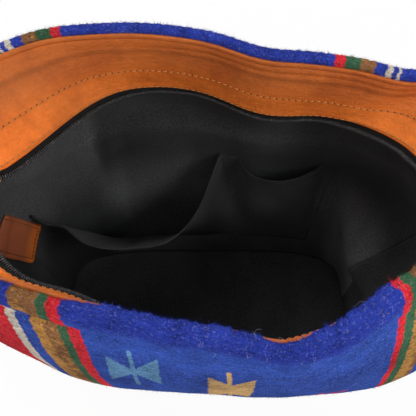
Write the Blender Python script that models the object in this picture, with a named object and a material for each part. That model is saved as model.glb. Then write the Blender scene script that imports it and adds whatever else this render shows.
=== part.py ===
"""Shoulder bag of striped wool cloth with a leather-faced zip mouth, standing wide open.

Metres, +Z up. The origin is on the underside of the base at its middle, +X runs along the bag's
width and -Y is its front. Every cloth or leather piece is a thick sheet, laid out as rows of
points from bottom to top and stations from the bag's left end to its right end.
"""

import math

import bmesh
import bpy
import numpy as np
from mathutils import Matrix, Vector

MM = 0.001

# Thicknesses and clearances
SEAM_GAP = 0.3 * MM
WOOL_THICKNESS = 3.0 * MM
RIM_THICKNESS = 6.5 * MM
FACING_THICKNESS = 1.6 * MM
FACING_LIP = 2.4 * MM
LINING_THICKNESS = 1.2 * MM
TAPE_THICKNESS = 0.9 * MM
COIL_RADIUS = 1.2 * MM
BASE_THICKNESS = 3.5 * MM
POCKET_THICKNESS = 1.0 * MM
PATCH_THICKNESS = 1.6 * MM
STRAP_THICKNESS = 3.6 * MM
STRAP_WIDTH = 32.0 * MM

# Main sizes of the bag: half its width at the rim, its greatest depths and its height
RIM_HALF_WIDTH = 204 * MM
FRONT_DEPTH = 100 * MM
BACK_DEPTH = 113 * MM
RIM_HEIGHT = 268 * MM
WALL_FOOT = BASE_THICKNESS + SEAM_GAP

# Wool body: height, half width, depth to the front, depth to the back, squareness of the outline
BODY_LEVELS = (
    (WALL_FOOT, 0.745 * RIM_HALF_WIDTH, 0.66 * FRONT_DEPTH, 0.549 * BACK_DEPTH, 4.0),
    (0.22 * RIM_HEIGHT, 0.770 * RIM_HALF_WIDTH, 0.88 * FRONT_DEPTH, 0.743 * BACK_DEPTH, 3.4),
    (0.49 * RIM_HEIGHT, 0.804 * RIM_HALF_WIDTH, FRONT_DEPTH, 0.894 * BACK_DEPTH, 3.0),
    (0.77 * RIM_HEIGHT, 0.902 * RIM_HALF_WIDTH, FRONT_DEPTH, BACK_DEPTH, 2.7),
    (RIM_HEIGHT, RIM_HALF_WIDTH, 0.76 * FRONT_DEPTH, 0.938 * BACK_DEPTH, 2.6),
)

# The two halves of the bag
BACK = 1
FRONT = -1

# Waves of the rim: middle along X, spread, shift. A positive shift moves the cloth towards +Y.
RIM_WAVES = {
    BACK: (
        (-112 * MM, 36 * MM, 8 * MM),
        (-55 * MM, 50 * MM, 9 * MM),
        (36 * MM, 26 * MM, -8 * MM),
        (86 * MM, 48 * MM, -15 * MM),
        (128 * MM, 24 * MM, -11 * MM),
    ),
    FRONT: (
        (-125 * MM, 50 * MM, 7 * MM),
        (-20 * MM, 24 * MM, -3 * MM),
        (0.0, 95 * MM, -7.5 * MM),
        (46 * MM, 46 * MM, -16 * MM),
        (118 * MM, 34 * MM, 14 * MM),
    ),
}
# The rim sinks a little here: middle along X, spread, drop
RIM_DIPS = {BACK: (), FRONT: ((52 * MM, 40 * MM, -7 * MM),)}

# Waves of the belly, strongest at one height
BELLY_HEIGHT = 165 * MM
BELLY_SPREAD = 75 * MM
BELLY_WAVES = {
    BACK: (),
    FRONT: (
        (-150 * MM, 70 * MM, 4 * MM),
        (-60 * MM, 50 * MM, -2 * MM),
        (132 * MM, 60 * MM, -15 * MM),
    ),
}

# Rows of the wool's wall, and its thicker hem rolled at the rim
WALL_ROWS = 8
RIM_HEM = 14 * MM
RIM_HEM_BULGE = 1.2 * MM
HEM_DROPS = (0.55 * RIM_HEM, 0.12 * RIM_HEM, 0.0)
LIP_DROP = 3 * MM

# Leather band between the zip and the rim: where it bends, and how far it sags there
BAND_BEND = 0.55
BAND_SAG = 4 * MM
# Rows of the facing from its lower edge to the rim, the last ones on its folded lip
FACING_ROWS = (0.0, 0.06, 0.33, 0.6, 0.85, 0.93, 1.0)
LIP_ROWS = 2

# Zip line: the curve of the zip's teeth round the open mouth
BAND_AT_ENDS = 46 * MM
BAND_AT_FRONT = 22 * MM
BAND_AT_BACK = 15 * MM
ZIP_HALF_WIDTH = RIM_HALF_WIDTH - BAND_AT_ENDS
ZIP_CLOSED = 8 * MM
ZIP_DEPTH = {BACK: BACK_DEPTH - BAND_AT_BACK, FRONT: FRONT_DEPTH - BAND_AT_FRONT}
ZIP_FULLNESS = 2.4
ZIP_HEIGHT = RIM_HEIGHT - 55 * MM
ZIP_END_RISE = 25 * MM
ZIP_WAVES = {
    BACK: (
        (-122 * MM, 30 * MM, -10 * MM),
        (-65 * MM, 42 * MM, 7 * MM),
        (40 * MM, 36 * MM, -20 * MM),
        (128 * MM, 24 * MM, 7 * MM),
    ),
    FRONT: (
        (-115 * MM, 34 * MM, -9 * MM),
        (-80 * MM, 34 * MM, 8 * MM),
        (40 * MM, 45 * MM, -6 * MM),
        (108 * MM, 40 * MM, -15 * MM),
    ),
}
COIL_SPREAD = 1.9 * MM
TAPE_SHOWING = 4.6 * MM
TAPE_HIDDEN = 6.0 * MM

# Lining below the zip: height, half width, depth to the front, depth to the back, squareness
LINING_LEVELS = (
    (WALL_FOOT + 2.2 * MM, ZIP_HALF_WIDTH - 20 * MM, 0.58 * FRONT_DEPTH, 0.442 * BACK_DEPTH, 4.0),
    (0.35 * ZIP_HEIGHT, ZIP_HALF_WIDTH - 18 * MM, 0.80 * FRONT_DEPTH, 0.619 * BACK_DEPTH, 3.0),
    (0.66 * ZIP_HEIGHT, ZIP_HALF_WIDTH - 17 * MM, 0.88 * FRONT_DEPTH, 0.752 * BACK_DEPTH, 2.8),
    (0.90 * ZIP_HEIGHT, ZIP_HALF_WIDTH - 3 * MM, 0.82 * FRONT_DEPTH, 0.796 * BACK_DEPTH, 1.9),
)
# Loose places of the lining that bulge into the bag: middle, spread and push
LINING_BULGES = (
    (
        (ZIP_HALF_WIDTH - 18 * MM, 14 * MM, 0.47 * ZIP_HEIGHT),
        (48 * MM, 36 * MM, 32 * MM),
        (-20 * MM, -3 * MM, 0.0),
    ),
)
# Heights of the lining's rows, as shares of the zip's height
LINING_ROWS = (0.028, 0.132, 0.291, 0.470, 0.634, 0.751, 0.854)
# Just under the zip the lining hangs straight: drop below the zip line, distance outside it
LINING_HANG = ((24 * MM, 5.0 * MM), (8 * MM, 4.8 * MM))

# Slip pocket: one cloth across the back lining, sewn to it at both ends, along its bottom and at
# a divider. The mouth is its upper edge seen from above, pulled open to the front: shares of the
# zip's half width across, and distances in front of the greatest depth.
POCKET_TOP = ZIP_HEIGHT - 58 * MM
POCKET_BOTTOM = 32 * MM
POCKET_MOUTH = (
    (-0.885, 89.5 * MM),
    (-0.800, 96 * MM),
    (-0.715, 98 * MM),
    (-0.615, 110 * MM),
    (-0.520, 115 * MM),
    (-0.380, 116 * MM),
    (-0.190, 110 * MM),
    (-0.051, 83 * MM),
    (0.095, 23 * MM),
    (0.209, 50 * MM),
    (0.348, 58 * MM),
    (0.500, 52 * MM),
    (0.671, 34 * MM),
)
POCKET_FOOT = (-0.709, 0.633)
POCKET_STATIONS = 34
POCKET_ROWS = 8
POCKET_GAPE_CURVE = 1.1

# Leather patch inside the left end: a strip that leans forward as it rises
PATCH_WIDTH = 33 * MM
PATCH_TOP = ZIP_HEIGHT - 33 * MM
PATCH_BOTTOM = PATCH_TOP - 46 * MM
PATCH_MIDDLE = 9 * MM
PATCH_LEAN = -0.22
PATCH_CLEAR = 0.98 * MM
PATCH_POINTS = 9
# How many rows and stations of the lining a patch can reach
PATCH_REACH = 9

# Zip slider at the left end of the zip: two plates joined by a post, with an arched bail on top
SLIDER_LENGTH = 9 * MM
SLIDER_WIDTH = 7.6 * MM
SLIDER_PLATE = 1.1 * MM
SLIDER_CLEAR = 2.3 * MM
SLIDER_AHEAD = 0.5 * MM
BAIL_TURN = math.radians(20)
POST_LENGTH = 3 * MM
POST_WIDTH = 2.2 * MM
BAIL_ROD = 0.6 * MM
BAIL_HEIGHT = 4.3 * MM
BAIL_SPAN = 5.0 * MM

# Zip pull: a flat tab with an eye, whose end bar turns under the bail
PULL_LENGTH = 24 * MM
PULL_WIDTH = 7.6 * MM
PULL_THICKNESS = 1.3 * MM
PULL_BAR = 1.3 * MM
PULL_EYE_LENGTH = 4.2 * MM
PULL_EYE_WIDTH = 5.0 * MM
PULL_AXIS_HEIGHT = 1.6 * MM
PULL_REST = 2.9 * MM

# Shoulder strap: sewn to both ends, folded over and hanging in a bow behind the bag
STRAP_SEWN = 52 * MM
STRAP_MIDDLE = 8 * MM
STRAP_RISE = 13 * MM
STRAP_FOLD = 11 * MM
STRAP_HANG = 150 * MM
STRAP_OFF_BACK = 16 * MM
# Points of the strap's middle line from the fold to the bow: distance out from the fold's outer
# run, distance back from the strap's foot, height up from the bow's lowest run
STRAP_DROP = (
    (0.0, 2 * MM, 116 * MM),
    (2 * MM, 9 * MM, 86 * MM),
    (-3 * MM, 30 * MM, 53 * MM),
    (-18 * MM, 66 * MM, 24 * MM),
)
STRAP_STEPS = 4

# Points along each half of the bag, and how far round from a side seam the waves start
STATIONS = 41
SEAM_HOLD = 30 * MM


def clear_scene():
    for item in list(bpy.data.objects):
        bpy.data.objects.remove(item, do_unlink=True)


def material(name, colour, roughness, metallic=0.0):
    made = bpy.data.materials.new(name)
    made.use_nodes = True
    shader = made.node_tree.nodes["Principled BSDF"]
    shader.inputs["Base Color"].default_value = (*colour, 1.0)
    shader.inputs["Roughness"].default_value = roughness
    shader.inputs["Metallic"].default_value = metallic
    return made


def keep(name, mesh_builder, finish):
    """Make an object from a bmesh, with its faces pointing out."""
    bmesh.ops.recalc_face_normals(mesh_builder, faces=mesh_builder.faces)
    mesh = bpy.data.meshes.new(name)
    mesh_builder.to_mesh(mesh)
    mesh_builder.free()
    mesh.materials.append(finish)
    mesh.shade_smooth()
    item = bpy.data.objects.new(name, mesh)
    bpy.context.scene.collection.objects.link(item)
    return item


def thick_sheet(name, outer, inner, finish):
    """Close two matching grids of points, rows by stations, into one solid sheet."""
    rows, stations = outer.shape[:2]
    builder = bmesh.new()
    skins = []
    for grid in (outer, inner):
        skins.append([[builder.verts.new(point) for point in row] for row in grid])
    for skin in skins:
        for i in range(rows - 1):
            for j in range(stations - 1):
                builder.faces.new((skin[i][j], skin[i][j + 1], skin[i + 1][j + 1], skin[i + 1][j]))
    one, two = skins
    for i in (0, rows - 1):
        for j in range(stations - 1):
            builder.faces.new((one[i][j], one[i][j + 1], two[i][j + 1], two[i][j]))
    for j in (0, stations - 1):
        for i in range(rows - 1):
            builder.faces.new((one[i][j], one[i + 1][j], two[i + 1][j], two[i][j]))
    return keep(name, builder, finish)


def sweep(name, rings, finish):
    """Skin a list of closed sections that have the same number of points, and cap both ends."""
    builder = bmesh.new()
    made = [[builder.verts.new(point) for point in ring] for ring in rings]
    count = len(rings[0])
    for one, two in zip(made, made[1:]):
        for k in range(count):
            after = (k + 1) % count
            builder.faces.new((one[k], one[after], two[after], two[k]))
    builder.faces.new(made[0])
    builder.faces.new(made[-1])
    return keep(name, builder, finish)


def resample(points, count):
    """Spread points evenly by length along a polyline."""
    steps = np.linalg.norm(np.diff(points, axis=0), axis=1)
    length = np.concatenate(([0.0], np.cumsum(steps)))
    places = np.linspace(0.0, length[-1], count)
    columns = [np.interp(places, length, column) for column in points.T]
    return np.stack(columns, axis=1)


def half_outline(side, half_width, depth, squareness, count=STATIONS):
    """One half of a rounded outline, from the left end round the front or the back to the right."""
    turn = np.linspace(0.0, math.pi, 16 * count)
    power = 2.0 / squareness
    across = -half_width * np.sign(np.cos(turn)) * np.abs(np.cos(turn)) ** power
    out = depth * np.abs(np.sin(turn)) ** power
    return resample(np.stack((across, side * (out + SEAM_GAP / 2)), axis=1), count)


def wave(across, waves):
    total = np.zeros_like(across)
    for middle, spread, amount in waves:
        total += amount * np.exp(-(((across - middle) / spread) ** 2))
    return total


def smooth_levels(levels, heights):
    """Read the level table at any heights, on a smooth curve through its lines."""
    table = np.array(levels)
    known = table[:, 0]
    slopes = np.gradient(table[:, 1:], known, axis=0)
    result = []
    for height in heights:
        k = int(np.clip(np.searchsorted(known, height) - 1, 0, len(known) - 2))
        span = known[k + 1] - known[k]
        t = np.clip((height - known[k]) / span, 0.0, 1.0)
        start, end = table[k, 1:], table[k + 1, 1:]
        result.append(
            (2 * t**3 - 3 * t**2 + 1) * start
            + (t**3 - 2 * t**2 + t) * span * slopes[k]
            + (3 * t**2 - 2 * t**3) * end
            + (t**3 - t**2) * span * slopes[k + 1]
        )
    return result


def outlines(side, levels, heights):
    rows = []
    for height, level in zip(heights, smooth_levels(levels, heights)):
        half_width, front, back, squareness = level
        plan = half_outline(side, half_width, back if side == BACK else front, squareness)
        rows.append(np.column_stack((plan, np.full(len(plan), height))))
    return np.array(rows)


def normals(grid, side):
    """Unit normals of a grid, pointing away from the bag's middle."""
    along = np.gradient(grid, axis=1)
    up = np.gradient(grid, axis=0)
    cross = np.cross(along, up) * -side
    cross /= np.linalg.norm(cross, axis=2, keepdims=True)
    for end in (0, -1):
        at_seam = np.abs(grid[:, end, 1]) < 2 * SEAM_GAP
        cross[at_seam, end, 1] = 0.0
    return cross / np.linalg.norm(cross, axis=2, keepdims=True)


def moved(grid, side, distance):
    """Move each row of a grid outwards by its own distance."""
    distance = np.broadcast_to(np.asarray(distance, dtype=float), (len(grid),))
    return grid + normals(grid, side) * distance[:, None, None]


def seam_hold(grid):
    """Share of a wave that a point takes: none at the side seams, all of it further round."""
    return np.clip(np.abs(grid[..., 1]) / SEAM_HOLD, 0.0, 1.0)


def body_grid(side, heights):
    """Outer face of the wool on one half, with the rim's waves dying out towards the base."""
    grid = outlines(side, BODY_LEVELS, heights)
    high = np.array(heights)[:, None]
    rim_share = (high / RIM_HEIGHT) ** 3
    belly_share = np.exp(-(((high - BELLY_HEIGHT) / BELLY_SPREAD) ** 2))
    across = grid[:, :, 0]
    shift = rim_share * wave(across, RIM_WAVES[side])
    shift += belly_share * wave(across, BELLY_WAVES[side])
    grid[:, :, 1] += shift * seam_hold(grid)
    grid[:, :, 2] += rim_share * wave(across, RIM_DIPS[side])
    return grid


def wool_panel(name, side, finish):
    """Wool of one half, with a thicker rolled hem along the rim."""
    wall = list(np.linspace(BODY_LEVELS[0][0], RIM_HEIGHT - RIM_HEM, WALL_ROWS))
    hem = [RIM_HEIGHT - drop for drop in HEM_DROPS]
    outer = body_grid(side, wall + hem)
    bulge = [0.0] * WALL_ROWS + [RIM_HEM_BULGE, RIM_HEM_BULGE / 2, -RIM_HEM_BULGE]
    fold = (WOOL_THICKNESS + RIM_THICKNESS) / 2
    crown = RIM_THICKNESS - RIM_HEM_BULGE
    plain = [WOOL_THICKNESS] * (WALL_ROWS - 1)
    thickness = np.array([*plain, fold, RIM_THICKNESS, RIM_THICKNESS, crown])
    return thick_sheet(name, moved(outer, side, bulge), moved(outer, side, -thickness), finish)


def zip_line(side):
    """Middle of the zip's teeth along one side of the mouth."""
    across = np.linspace(-ZIP_HALF_WIDTH, ZIP_HALF_WIDTH, 16 * STATIONS)
    share = np.clip(np.abs(across) / (ZIP_HALF_WIDTH - ZIP_CLOSED), 0.0, 1.0)
    out = side * ZIP_DEPTH[side] * (1.0 - share**ZIP_FULLNESS)
    plan = resample(np.column_stack((across, out)), STATIONS)
    plan[:, 1] += seam_hold(plan) * wave(plan[:, 0], ZIP_WAVES[side]) + side * COIL_SPREAD
    rise = ZIP_END_RISE * np.abs(plan[:, 0] / ZIP_HALF_WIDTH) ** 3
    return np.column_stack((plan, ZIP_HEIGHT + rise))


def rim_inside(side):
    """Line on the rim's inner face where the leather facing is sewn on."""
    grid = body_grid(side, [RIM_HEIGHT - RIM_HEM, RIM_HEIGHT - LIP_DROP])
    return moved(grid, side, -(RIM_THICKNESS + SEAM_GAP))[1]


def zip_edge(side, distance):
    """Line that runs beside the zip line, a distance up the slope towards the rim."""
    line = zip_line(side)
    ahead = np.gradient(line, axis=0)
    ahead /= np.linalg.norm(ahead, axis=1, keepdims=True)
    away = rim_inside(side) - line
    away -= ahead * np.sum(away * ahead, axis=1, keepdims=True)
    away /= np.linalg.norm(away, axis=1, keepdims=True)
    return line + away * distance


def band(side, shares):
    """Rows of the surface that carries the facing, from its lower edge (0) to the rim (1)."""
    start, end = zip_edge(side, TAPE_SHOWING), rim_inside(side)
    bend = start * (1 - BAND_BEND) + end * BAND_BEND
    bend[:, 2] -= BAND_SAG
    return np.array([start * (1 - t) ** 2 + bend * 2 * t * (1 - t) + end * t**2 for t in shares])


def facing(name, side, finish):
    """Leather band that lines the mouth, with a thicker folded lip along the rim."""
    grid = band(side, FACING_ROWS)
    plain_rows = len(FACING_ROWS) - LIP_ROWS
    thickness = np.array([FACING_THICKNESS] * plain_rows + [FACING_LIP] * LIP_ROWS)
    return thick_sheet(name, grid, moved(grid, side, -thickness), finish)


def tape_rows(side):
    """Rows beside the teeth, at the facing's edge and hidden behind the facing."""
    width = np.linalg.norm(rim_inside(side) - zip_edge(side, TAPE_SHOWING), axis=1, keepdims=True)
    hidden = TAPE_HIDDEN / (2 * BAND_BEND * width)
    beside = zip_edge(side, COIL_RADIUS + 2 * SEAM_GAP)
    return np.concatenate((beside[None], band(side, (0.0, hidden))))


def tape(name, side, finish):
    grid = moved(tape_rows(side), side, SEAM_GAP)
    return thick_sheet(name, grid, moved(grid, side, TAPE_THICKNESS), finish)


def coil(name, side, finish):
    line = zip_line(side)
    forward = np.gradient(line, axis=0)
    forward /= np.linalg.norm(forward, axis=1, keepdims=True)
    rings = []
    for point, ahead in zip(line, forward):
        flat = np.cross(ahead, (0.0, 0.0, 1.0))
        flat /= np.linalg.norm(flat)
        up = np.cross(flat, ahead)
        turns = [k * math.tau / 6 for k in range(6)]
        rings.append([point + COIL_RADIUS * (math.cos(a) * flat + math.sin(a) * up) for a in turns])
    return sweep(name, rings, finish)


def lining_grid(side):
    """Mouth-side face of the lining: from the base up to behind the zip tape."""
    upper = moved(tape_rows(side), side, 2 * SEAM_GAP + TAPE_THICKNESS)
    line = zip_line(side)
    hanging = []
    for drop, out in LINING_HANG:
        row = line + flat_outward(line, side) * out
        row[:, 2] -= drop
        hanging.append(row)
    lower = outlines(side, LINING_LEVELS, [share * ZIP_HEIGHT for share in LINING_ROWS])
    share = (lower[:, :, 2] / ZIP_HEIGHT) ** 3
    lower[:, :, 1] += share * seam_hold(lower) * wave(lower[:, :, 0], ZIP_WAVES[side])
    for middle, spread, push in LINING_BULGES:
        nearness = np.exp(-np.sum(((lower - middle) / spread) ** 2, axis=2, keepdims=True))
        lower = lower + nearness * np.array(push)
    return np.concatenate((lower, hanging, upper))


def flat_outward(line, side):
    """Level directions that point away from the mouth along a line round it."""
    ahead = np.gradient(line[:, :2], axis=0)
    out = np.column_stack((-ahead[:, 1], ahead[:, 0], np.zeros(len(line)))) * side
    out[0, 1] = 0.0
    out[-1, 1] = 0.0
    return out / np.linalg.norm(out, axis=1, keepdims=True)


def lining_panel(name, side, finish):
    grid = lining_grid(side)
    return thick_sheet(name, grid, moved(grid, side, LINING_THICKNESS), finish)


def plate(name, low, high, half_width, front, back, squareness, finish):
    """Flat plate with a rounded outline."""
    builder = bmesh.new()
    loops = []
    for height in (low, high):
        rear = half_outline(BACK, half_width, back, squareness)
        fore = half_outline(FRONT, half_width, front, squareness)[::-1]
        plan = np.concatenate((rear[1:-1], fore))
        loops.append([builder.verts.new((x, y, height)) for x, y in plan])
    bottom, top = loops
    count = len(bottom)
    for k in range(count):
        after = (k + 1) % count
        builder.faces.new((bottom[k], bottom[after], top[after], top[k]))
    builder.faces.new(bottom)
    builder.faces.new(top)
    return keep(name, builder, finish)


def base_panel(finish):
    _, half_width, front, back, squareness = BODY_LEVELS[0]
    low, high = 0.0, BASE_THICKNESS
    return plate("base_panel", low, high, half_width, front, back, squareness, finish)


def lining_base(finish):
    _, half_width, front, back, squareness = LINING_LEVELS[0]
    low = BASE_THICKNESS + SEAM_GAP
    high = low + LINING_THICKNESS
    inset = SEAM_GAP + LINING_THICKNESS
    sizes = (half_width - inset, front - inset, back - inset)
    return plate("lining_base", low, high, *sizes, squareness, finish)


def curve_through(points, steps):
    """Smooth curve through the given points, with a number of steps between neighbours."""
    known = np.array(points, dtype=float)
    ends = np.concatenate((2 * known[:1] - known[1:2], known, 2 * known[-1:] - known[-2:-1]))
    curve = []
    for k in range(len(known) - 1):
        before, one, two, after = ends[k : k + 4]
        leave = (two - before) / 2
        arrive = (after - one) / 2
        for t in np.linspace(0.0, 1.0, steps, endpoint=False):
            bend = 3 * (two - one) - 2 * leave - arrive
            twist = leave + arrive - 2 * (two - one)
            curve.append(one + leave * t + bend * t**2 + twist * t**3)
    curve.append(known[-1])
    return np.array(curve)


def lining_depth(grid, across, height):
    """How far back the back lining's mouth-side face lies, at places across it and a height."""
    below_zip = grid[: len(LINING_ROWS) + 1]
    rows = [(row[:, 2].mean(), np.interp(across, row[:, 0], row[:, 1])) for row in below_zip]
    levels = np.array([level for level, _ in rows])
    depths = np.array([depth for _, depth in rows])
    return np.array([np.interp(height, levels, depths[:, k]) for k in range(len(across))])


def slip_pocket(finish):
    lining = lining_grid(BACK)
    marks = [(share * ZIP_HALF_WIDTH, BACK_DEPTH - front) for share, front in POCKET_MOUTH]
    mouth = resample(curve_through(marks, POCKET_STATIONS), POCKET_STATIONS)
    left, right = (share * ZIP_HALF_WIDTH for share in POCKET_FOOT)
    foot = np.linspace(left, right, POCKET_STATIONS)
    clear = POCKET_THICKNESS + SEAM_GAP * 2
    foot_depth = lining_depth(lining, foot, POCKET_BOTTOM) - clear
    rows = []
    for t in np.linspace(0.0, 1.0, POCKET_ROWS):
        height = POCKET_BOTTOM + t * (POCKET_TOP - POCKET_BOTTOM)
        across = foot + (mouth[:, 0] - foot) * t
        opened = t**POCKET_GAPE_CURVE
        depth = foot_depth + (mouth[:, 1] - foot_depth) * opened
        depth = np.minimum(depth, lining_depth(lining, across, height) - clear)
        rows.append(np.column_stack((across, depth, np.full(POCKET_STATIONS, height))))
    grid = np.array(rows)
    behind = grid + np.array((0.0, POCKET_THICKNESS, 0.0))
    return thick_sheet("slip_pocket", behind, grid, finish)


def inner_patch(finish):
    """Patch on the lining of the left end."""
    fore_grid, rear_grid = (lining_grid(side)[:PATCH_REACH, :PATCH_REACH] for side in (FRONT, BACK))
    sampled = []
    for fore, rear in zip(fore_grid, rear_grid):
        line = np.concatenate((fore[:0:-1], (fore[:1] + rear[:1]) / 2, rear[1:]))
        middle = PATCH_MIDDLE + PATCH_LEAN * (line[:, 2].mean() - PATCH_BOTTOM)
        spots = middle + np.linspace(-0.5, 0.5, PATCH_POINTS) * PATCH_WIDTH
        steps = np.concatenate(([0.0], np.cumsum(np.linalg.norm(np.diff(line, axis=0), axis=1))))
        steps -= steps[len(fore) - 1]
        sampled.append([[np.interp(spot, steps, line[:, k]) for k in range(3)] for spot in spots])
    sampled = np.array(sampled)
    rows = []
    for height in np.linspace(PATCH_BOTTOM, PATCH_TOP, PATCH_POINTS):
        column = []
        for k in range(PATCH_POINTS):
            levels = sampled[:, k, 2]
            column.append([np.interp(height, levels, sampled[:, k, axis]) for axis in range(3)])
        rows.append(column)
    grid = np.array(rows)
    facing_in = np.cross(np.gradient(grid, axis=1), np.gradient(grid, axis=0))
    facing_in *= np.sign(facing_in[:, :, :1])
    facing_in /= np.linalg.norm(facing_in, axis=2, keepdims=True)
    outer = grid + facing_in * PATCH_CLEAR
    return thick_sheet("inner_patch", outer, outer + facing_in * PATCH_THICKNESS, finish)


def box_mesh(name, size, centre, frame):
    """Box in a frame of its own, as a separate object."""
    builder = bmesh.new()
    bmesh.ops.create_cube(builder, size=1.0)
    bmesh.ops.scale(builder, vec=size, verts=builder.verts)
    bmesh.ops.translate(builder, vec=centre, verts=builder.verts)
    bmesh.ops.transform(builder, matrix=frame, verts=builder.verts)
    mesh = bpy.data.meshes.new(name)
    builder.to_mesh(mesh)
    builder.free()
    item = bpy.data.objects.new(name, mesh)
    bpy.context.scene.collection.objects.link(item)
    return item


def combine(item, tool, operation):
    """Join or cut with a hidden tool."""
    tool.hide_render = True
    tool.display_type = "WIRE"
    change = item.modifiers.new(tool.name, "BOOLEAN")
    change.object = tool
    change.operation = operation
    change.solver = "EXACT"


def slider_frame():
    """Frame of the slider: X to the open mouth along the zip, Z away from the teeth."""
    start = (ZIP_HALF_WIDTH - ZIP_CLOSED) / ZIP_HALF_WIDTH
    ahead = Vector((1.0, 0.0, -3 * ZIP_END_RISE / ZIP_HALF_WIDTH * start**2)).normalized()
    mouth = Vector((ZIP_CLOSED - ZIP_HALF_WIDTH, 0.0, ZIP_HEIGHT + ZIP_END_RISE * start**3))
    side = Vector((0.0, 1.0, 0.0))
    up = ahead.cross(side)
    frame = Matrix((ahead, side, up)).transposed().to_4x4()
    frame.translation = mouth + ahead * SLIDER_AHEAD
    return frame


def zip_slider(finish):
    frame = slider_frame()
    plate_size = (SLIDER_LENGTH, SLIDER_WIDTH, SLIDER_PLATE)
    plate_middle = SLIDER_CLEAR + SLIDER_PLATE / 2
    body = box_mesh("zip_slider", plate_size, (0.0, 0.0, plate_middle), frame)
    under = box_mesh("slider_under_plate", plate_size, (0.0, 0.0, -plate_middle), frame)
    post_size = (POST_LENGTH, POST_WIDTH, 2 * plate_middle)
    post_middle = (SLIDER_LENGTH - POST_LENGTH) / 2 - SLIDER_PLATE
    post = box_mesh("slider_post", post_size, (post_middle, 0.0, 0.0), frame)
    turned = frame @ Matrix.Rotation(BAIL_TURN, 4, "Z")
    top = SLIDER_CLEAR + SLIDER_PLATE
    rings = []
    for turn in np.linspace(0.0, math.pi, 11):
        rise = math.sin(turn) * (BAIL_HEIGHT - BAIL_ROD)
        arch = Vector((math.cos(turn) * BAIL_SPAN / 2, 0.0, rise))
        outward = Vector((math.cos(turn), 0.0, math.sin(turn)))
        centre = arch + Vector((0.0, 0.0, top - BAIL_ROD / 2))
        ring = []
        for k in range(8):
            angle = k * math.tau / 8
            point = centre + outward * BAIL_ROD * math.cos(angle)
            point.y += BAIL_ROD * math.sin(angle)
            ring.append(turned @ point)
        rings.append(ring)
    bail = sweep("slider_bail", rings, finish)
    for tool in (post, under, bail):
        combine(body, tool, "UNION")
    body.data.materials.append(finish)
    return body


def pull_frame():
    """Frame of the pull at rest: origin on the hinge, X along the tab, Y the hinge's axis."""
    slider = slider_frame()
    origin = slider @ Vector((0.0, 0.0, SLIDER_CLEAR + SLIDER_PLATE + PULL_AXIS_HEIGHT))
    line = zip_line(BACK)
    steps = np.concatenate(([0.0], np.cumsum(np.linalg.norm(np.diff(line, axis=0), axis=1))))
    reach = ZIP_CLOSED + SLIDER_AHEAD + PULL_LENGTH
    rest = Vector([np.interp(reach, steps, line[:, k]) for k in range(3)])
    rest.z += PULL_REST
    ahead = (rest - origin).normalized()
    side = slider.col[2].to_3d().cross(ahead).normalized()
    frame = Matrix((ahead, side, ahead.cross(side))).transposed().to_4x4()
    frame.translation = origin
    return frame


def zip_pull(finish):
    frame = pull_frame()
    size = (PULL_LENGTH, PULL_WIDTH, PULL_THICKNESS)
    middle = PULL_LENGTH / 2 - PULL_BAR / 2
    tab = box_mesh("zip_pull", size, (middle, 0.0, 0.0), Matrix.Identity(4))
    tab.matrix_world = frame
    eye_size = (PULL_EYE_LENGTH, PULL_EYE_WIDTH, 4 * PULL_THICKNESS)
    eye_middle = (PULL_BAR + PULL_EYE_LENGTH) / 2
    eye = box_mesh("pull_eye", eye_size, (eye_middle, 0.0, 0.0), Matrix.Identity(4))
    eye.matrix_world = frame
    combine(tab, eye, "DIFFERENCE")
    tab.data.materials.append(finish)
    return tab


def strap_route():
    """Middle line of the strap with the direction of its width at each point."""
    off = 2 * SEAM_GAP + RIM_HEM_BULGE + STRAP_THICKNESS / 2
    foot = RIM_HEIGHT - RIM_HEM - STRAP_SEWN
    heights = (foot, foot + STRAP_SEWN / 2, foot + STRAP_SEWN, RIM_HEIGHT)
    level = (0.0, 1.0, 0.0)
    tilted = (0.0, 0.7, 0.7)
    upright = (0.0, 0.0, 1.0)
    left = []
    for height, (half_width, *_) in zip(heights, smooth_levels(BODY_LEVELS, heights)):
        left.append((-half_width - off, STRAP_MIDDLE, height, *level))
    rim = BODY_LEVELS[-1][1] + off
    fold = rim + 2 * STRAP_FOLD
    left.append((-rim - STRAP_FOLD, STRAP_MIDDLE, RIM_HEIGHT + STRAP_RISE, *level))
    for k, (out, back, up) in enumerate(STRAP_DROP):
        hint = level if k < 2 else tilted
        left.append((-fold - out, STRAP_MIDDLE + back, STRAP_HANG + up, *hint))
    half_width, _, depth, _ = smooth_levels(BODY_LEVELS, [STRAP_HANG])[0]
    behind = depth + STRAP_OFF_BACK
    left.append((-half_width, behind - STRAP_OFF_BACK, STRAP_HANG + STRAP_FOLD, *upright))
    left.append((-half_width / 2, behind, STRAP_HANG, *upright))
    middle = (0.0, behind, STRAP_HANG, *upright)
    right = [(-x, *rest) for x, *rest in reversed(left)]
    return [*left, middle, *right]


def shoulder_strap(finish):
    line = curve_through(strap_route(), STRAP_STEPS)
    ahead = np.gradient(line[:, :3], axis=0)
    rings = []
    for row, step in zip(line, ahead):
        middle = Vector(row[:3])
        forward = Vector(step).normalized()
        across = Vector(row[3:])
        across = (across - forward * across.dot(forward)).normalized() * STRAP_WIDTH / 2
        through = forward.cross(across).normalized() * STRAP_THICKNESS / 2
        one, two = middle + across, middle - across
        rings.append([one + through, one - through, two - through, two + through])
    return sweep("shoulder_strap", rings, finish)


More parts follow.
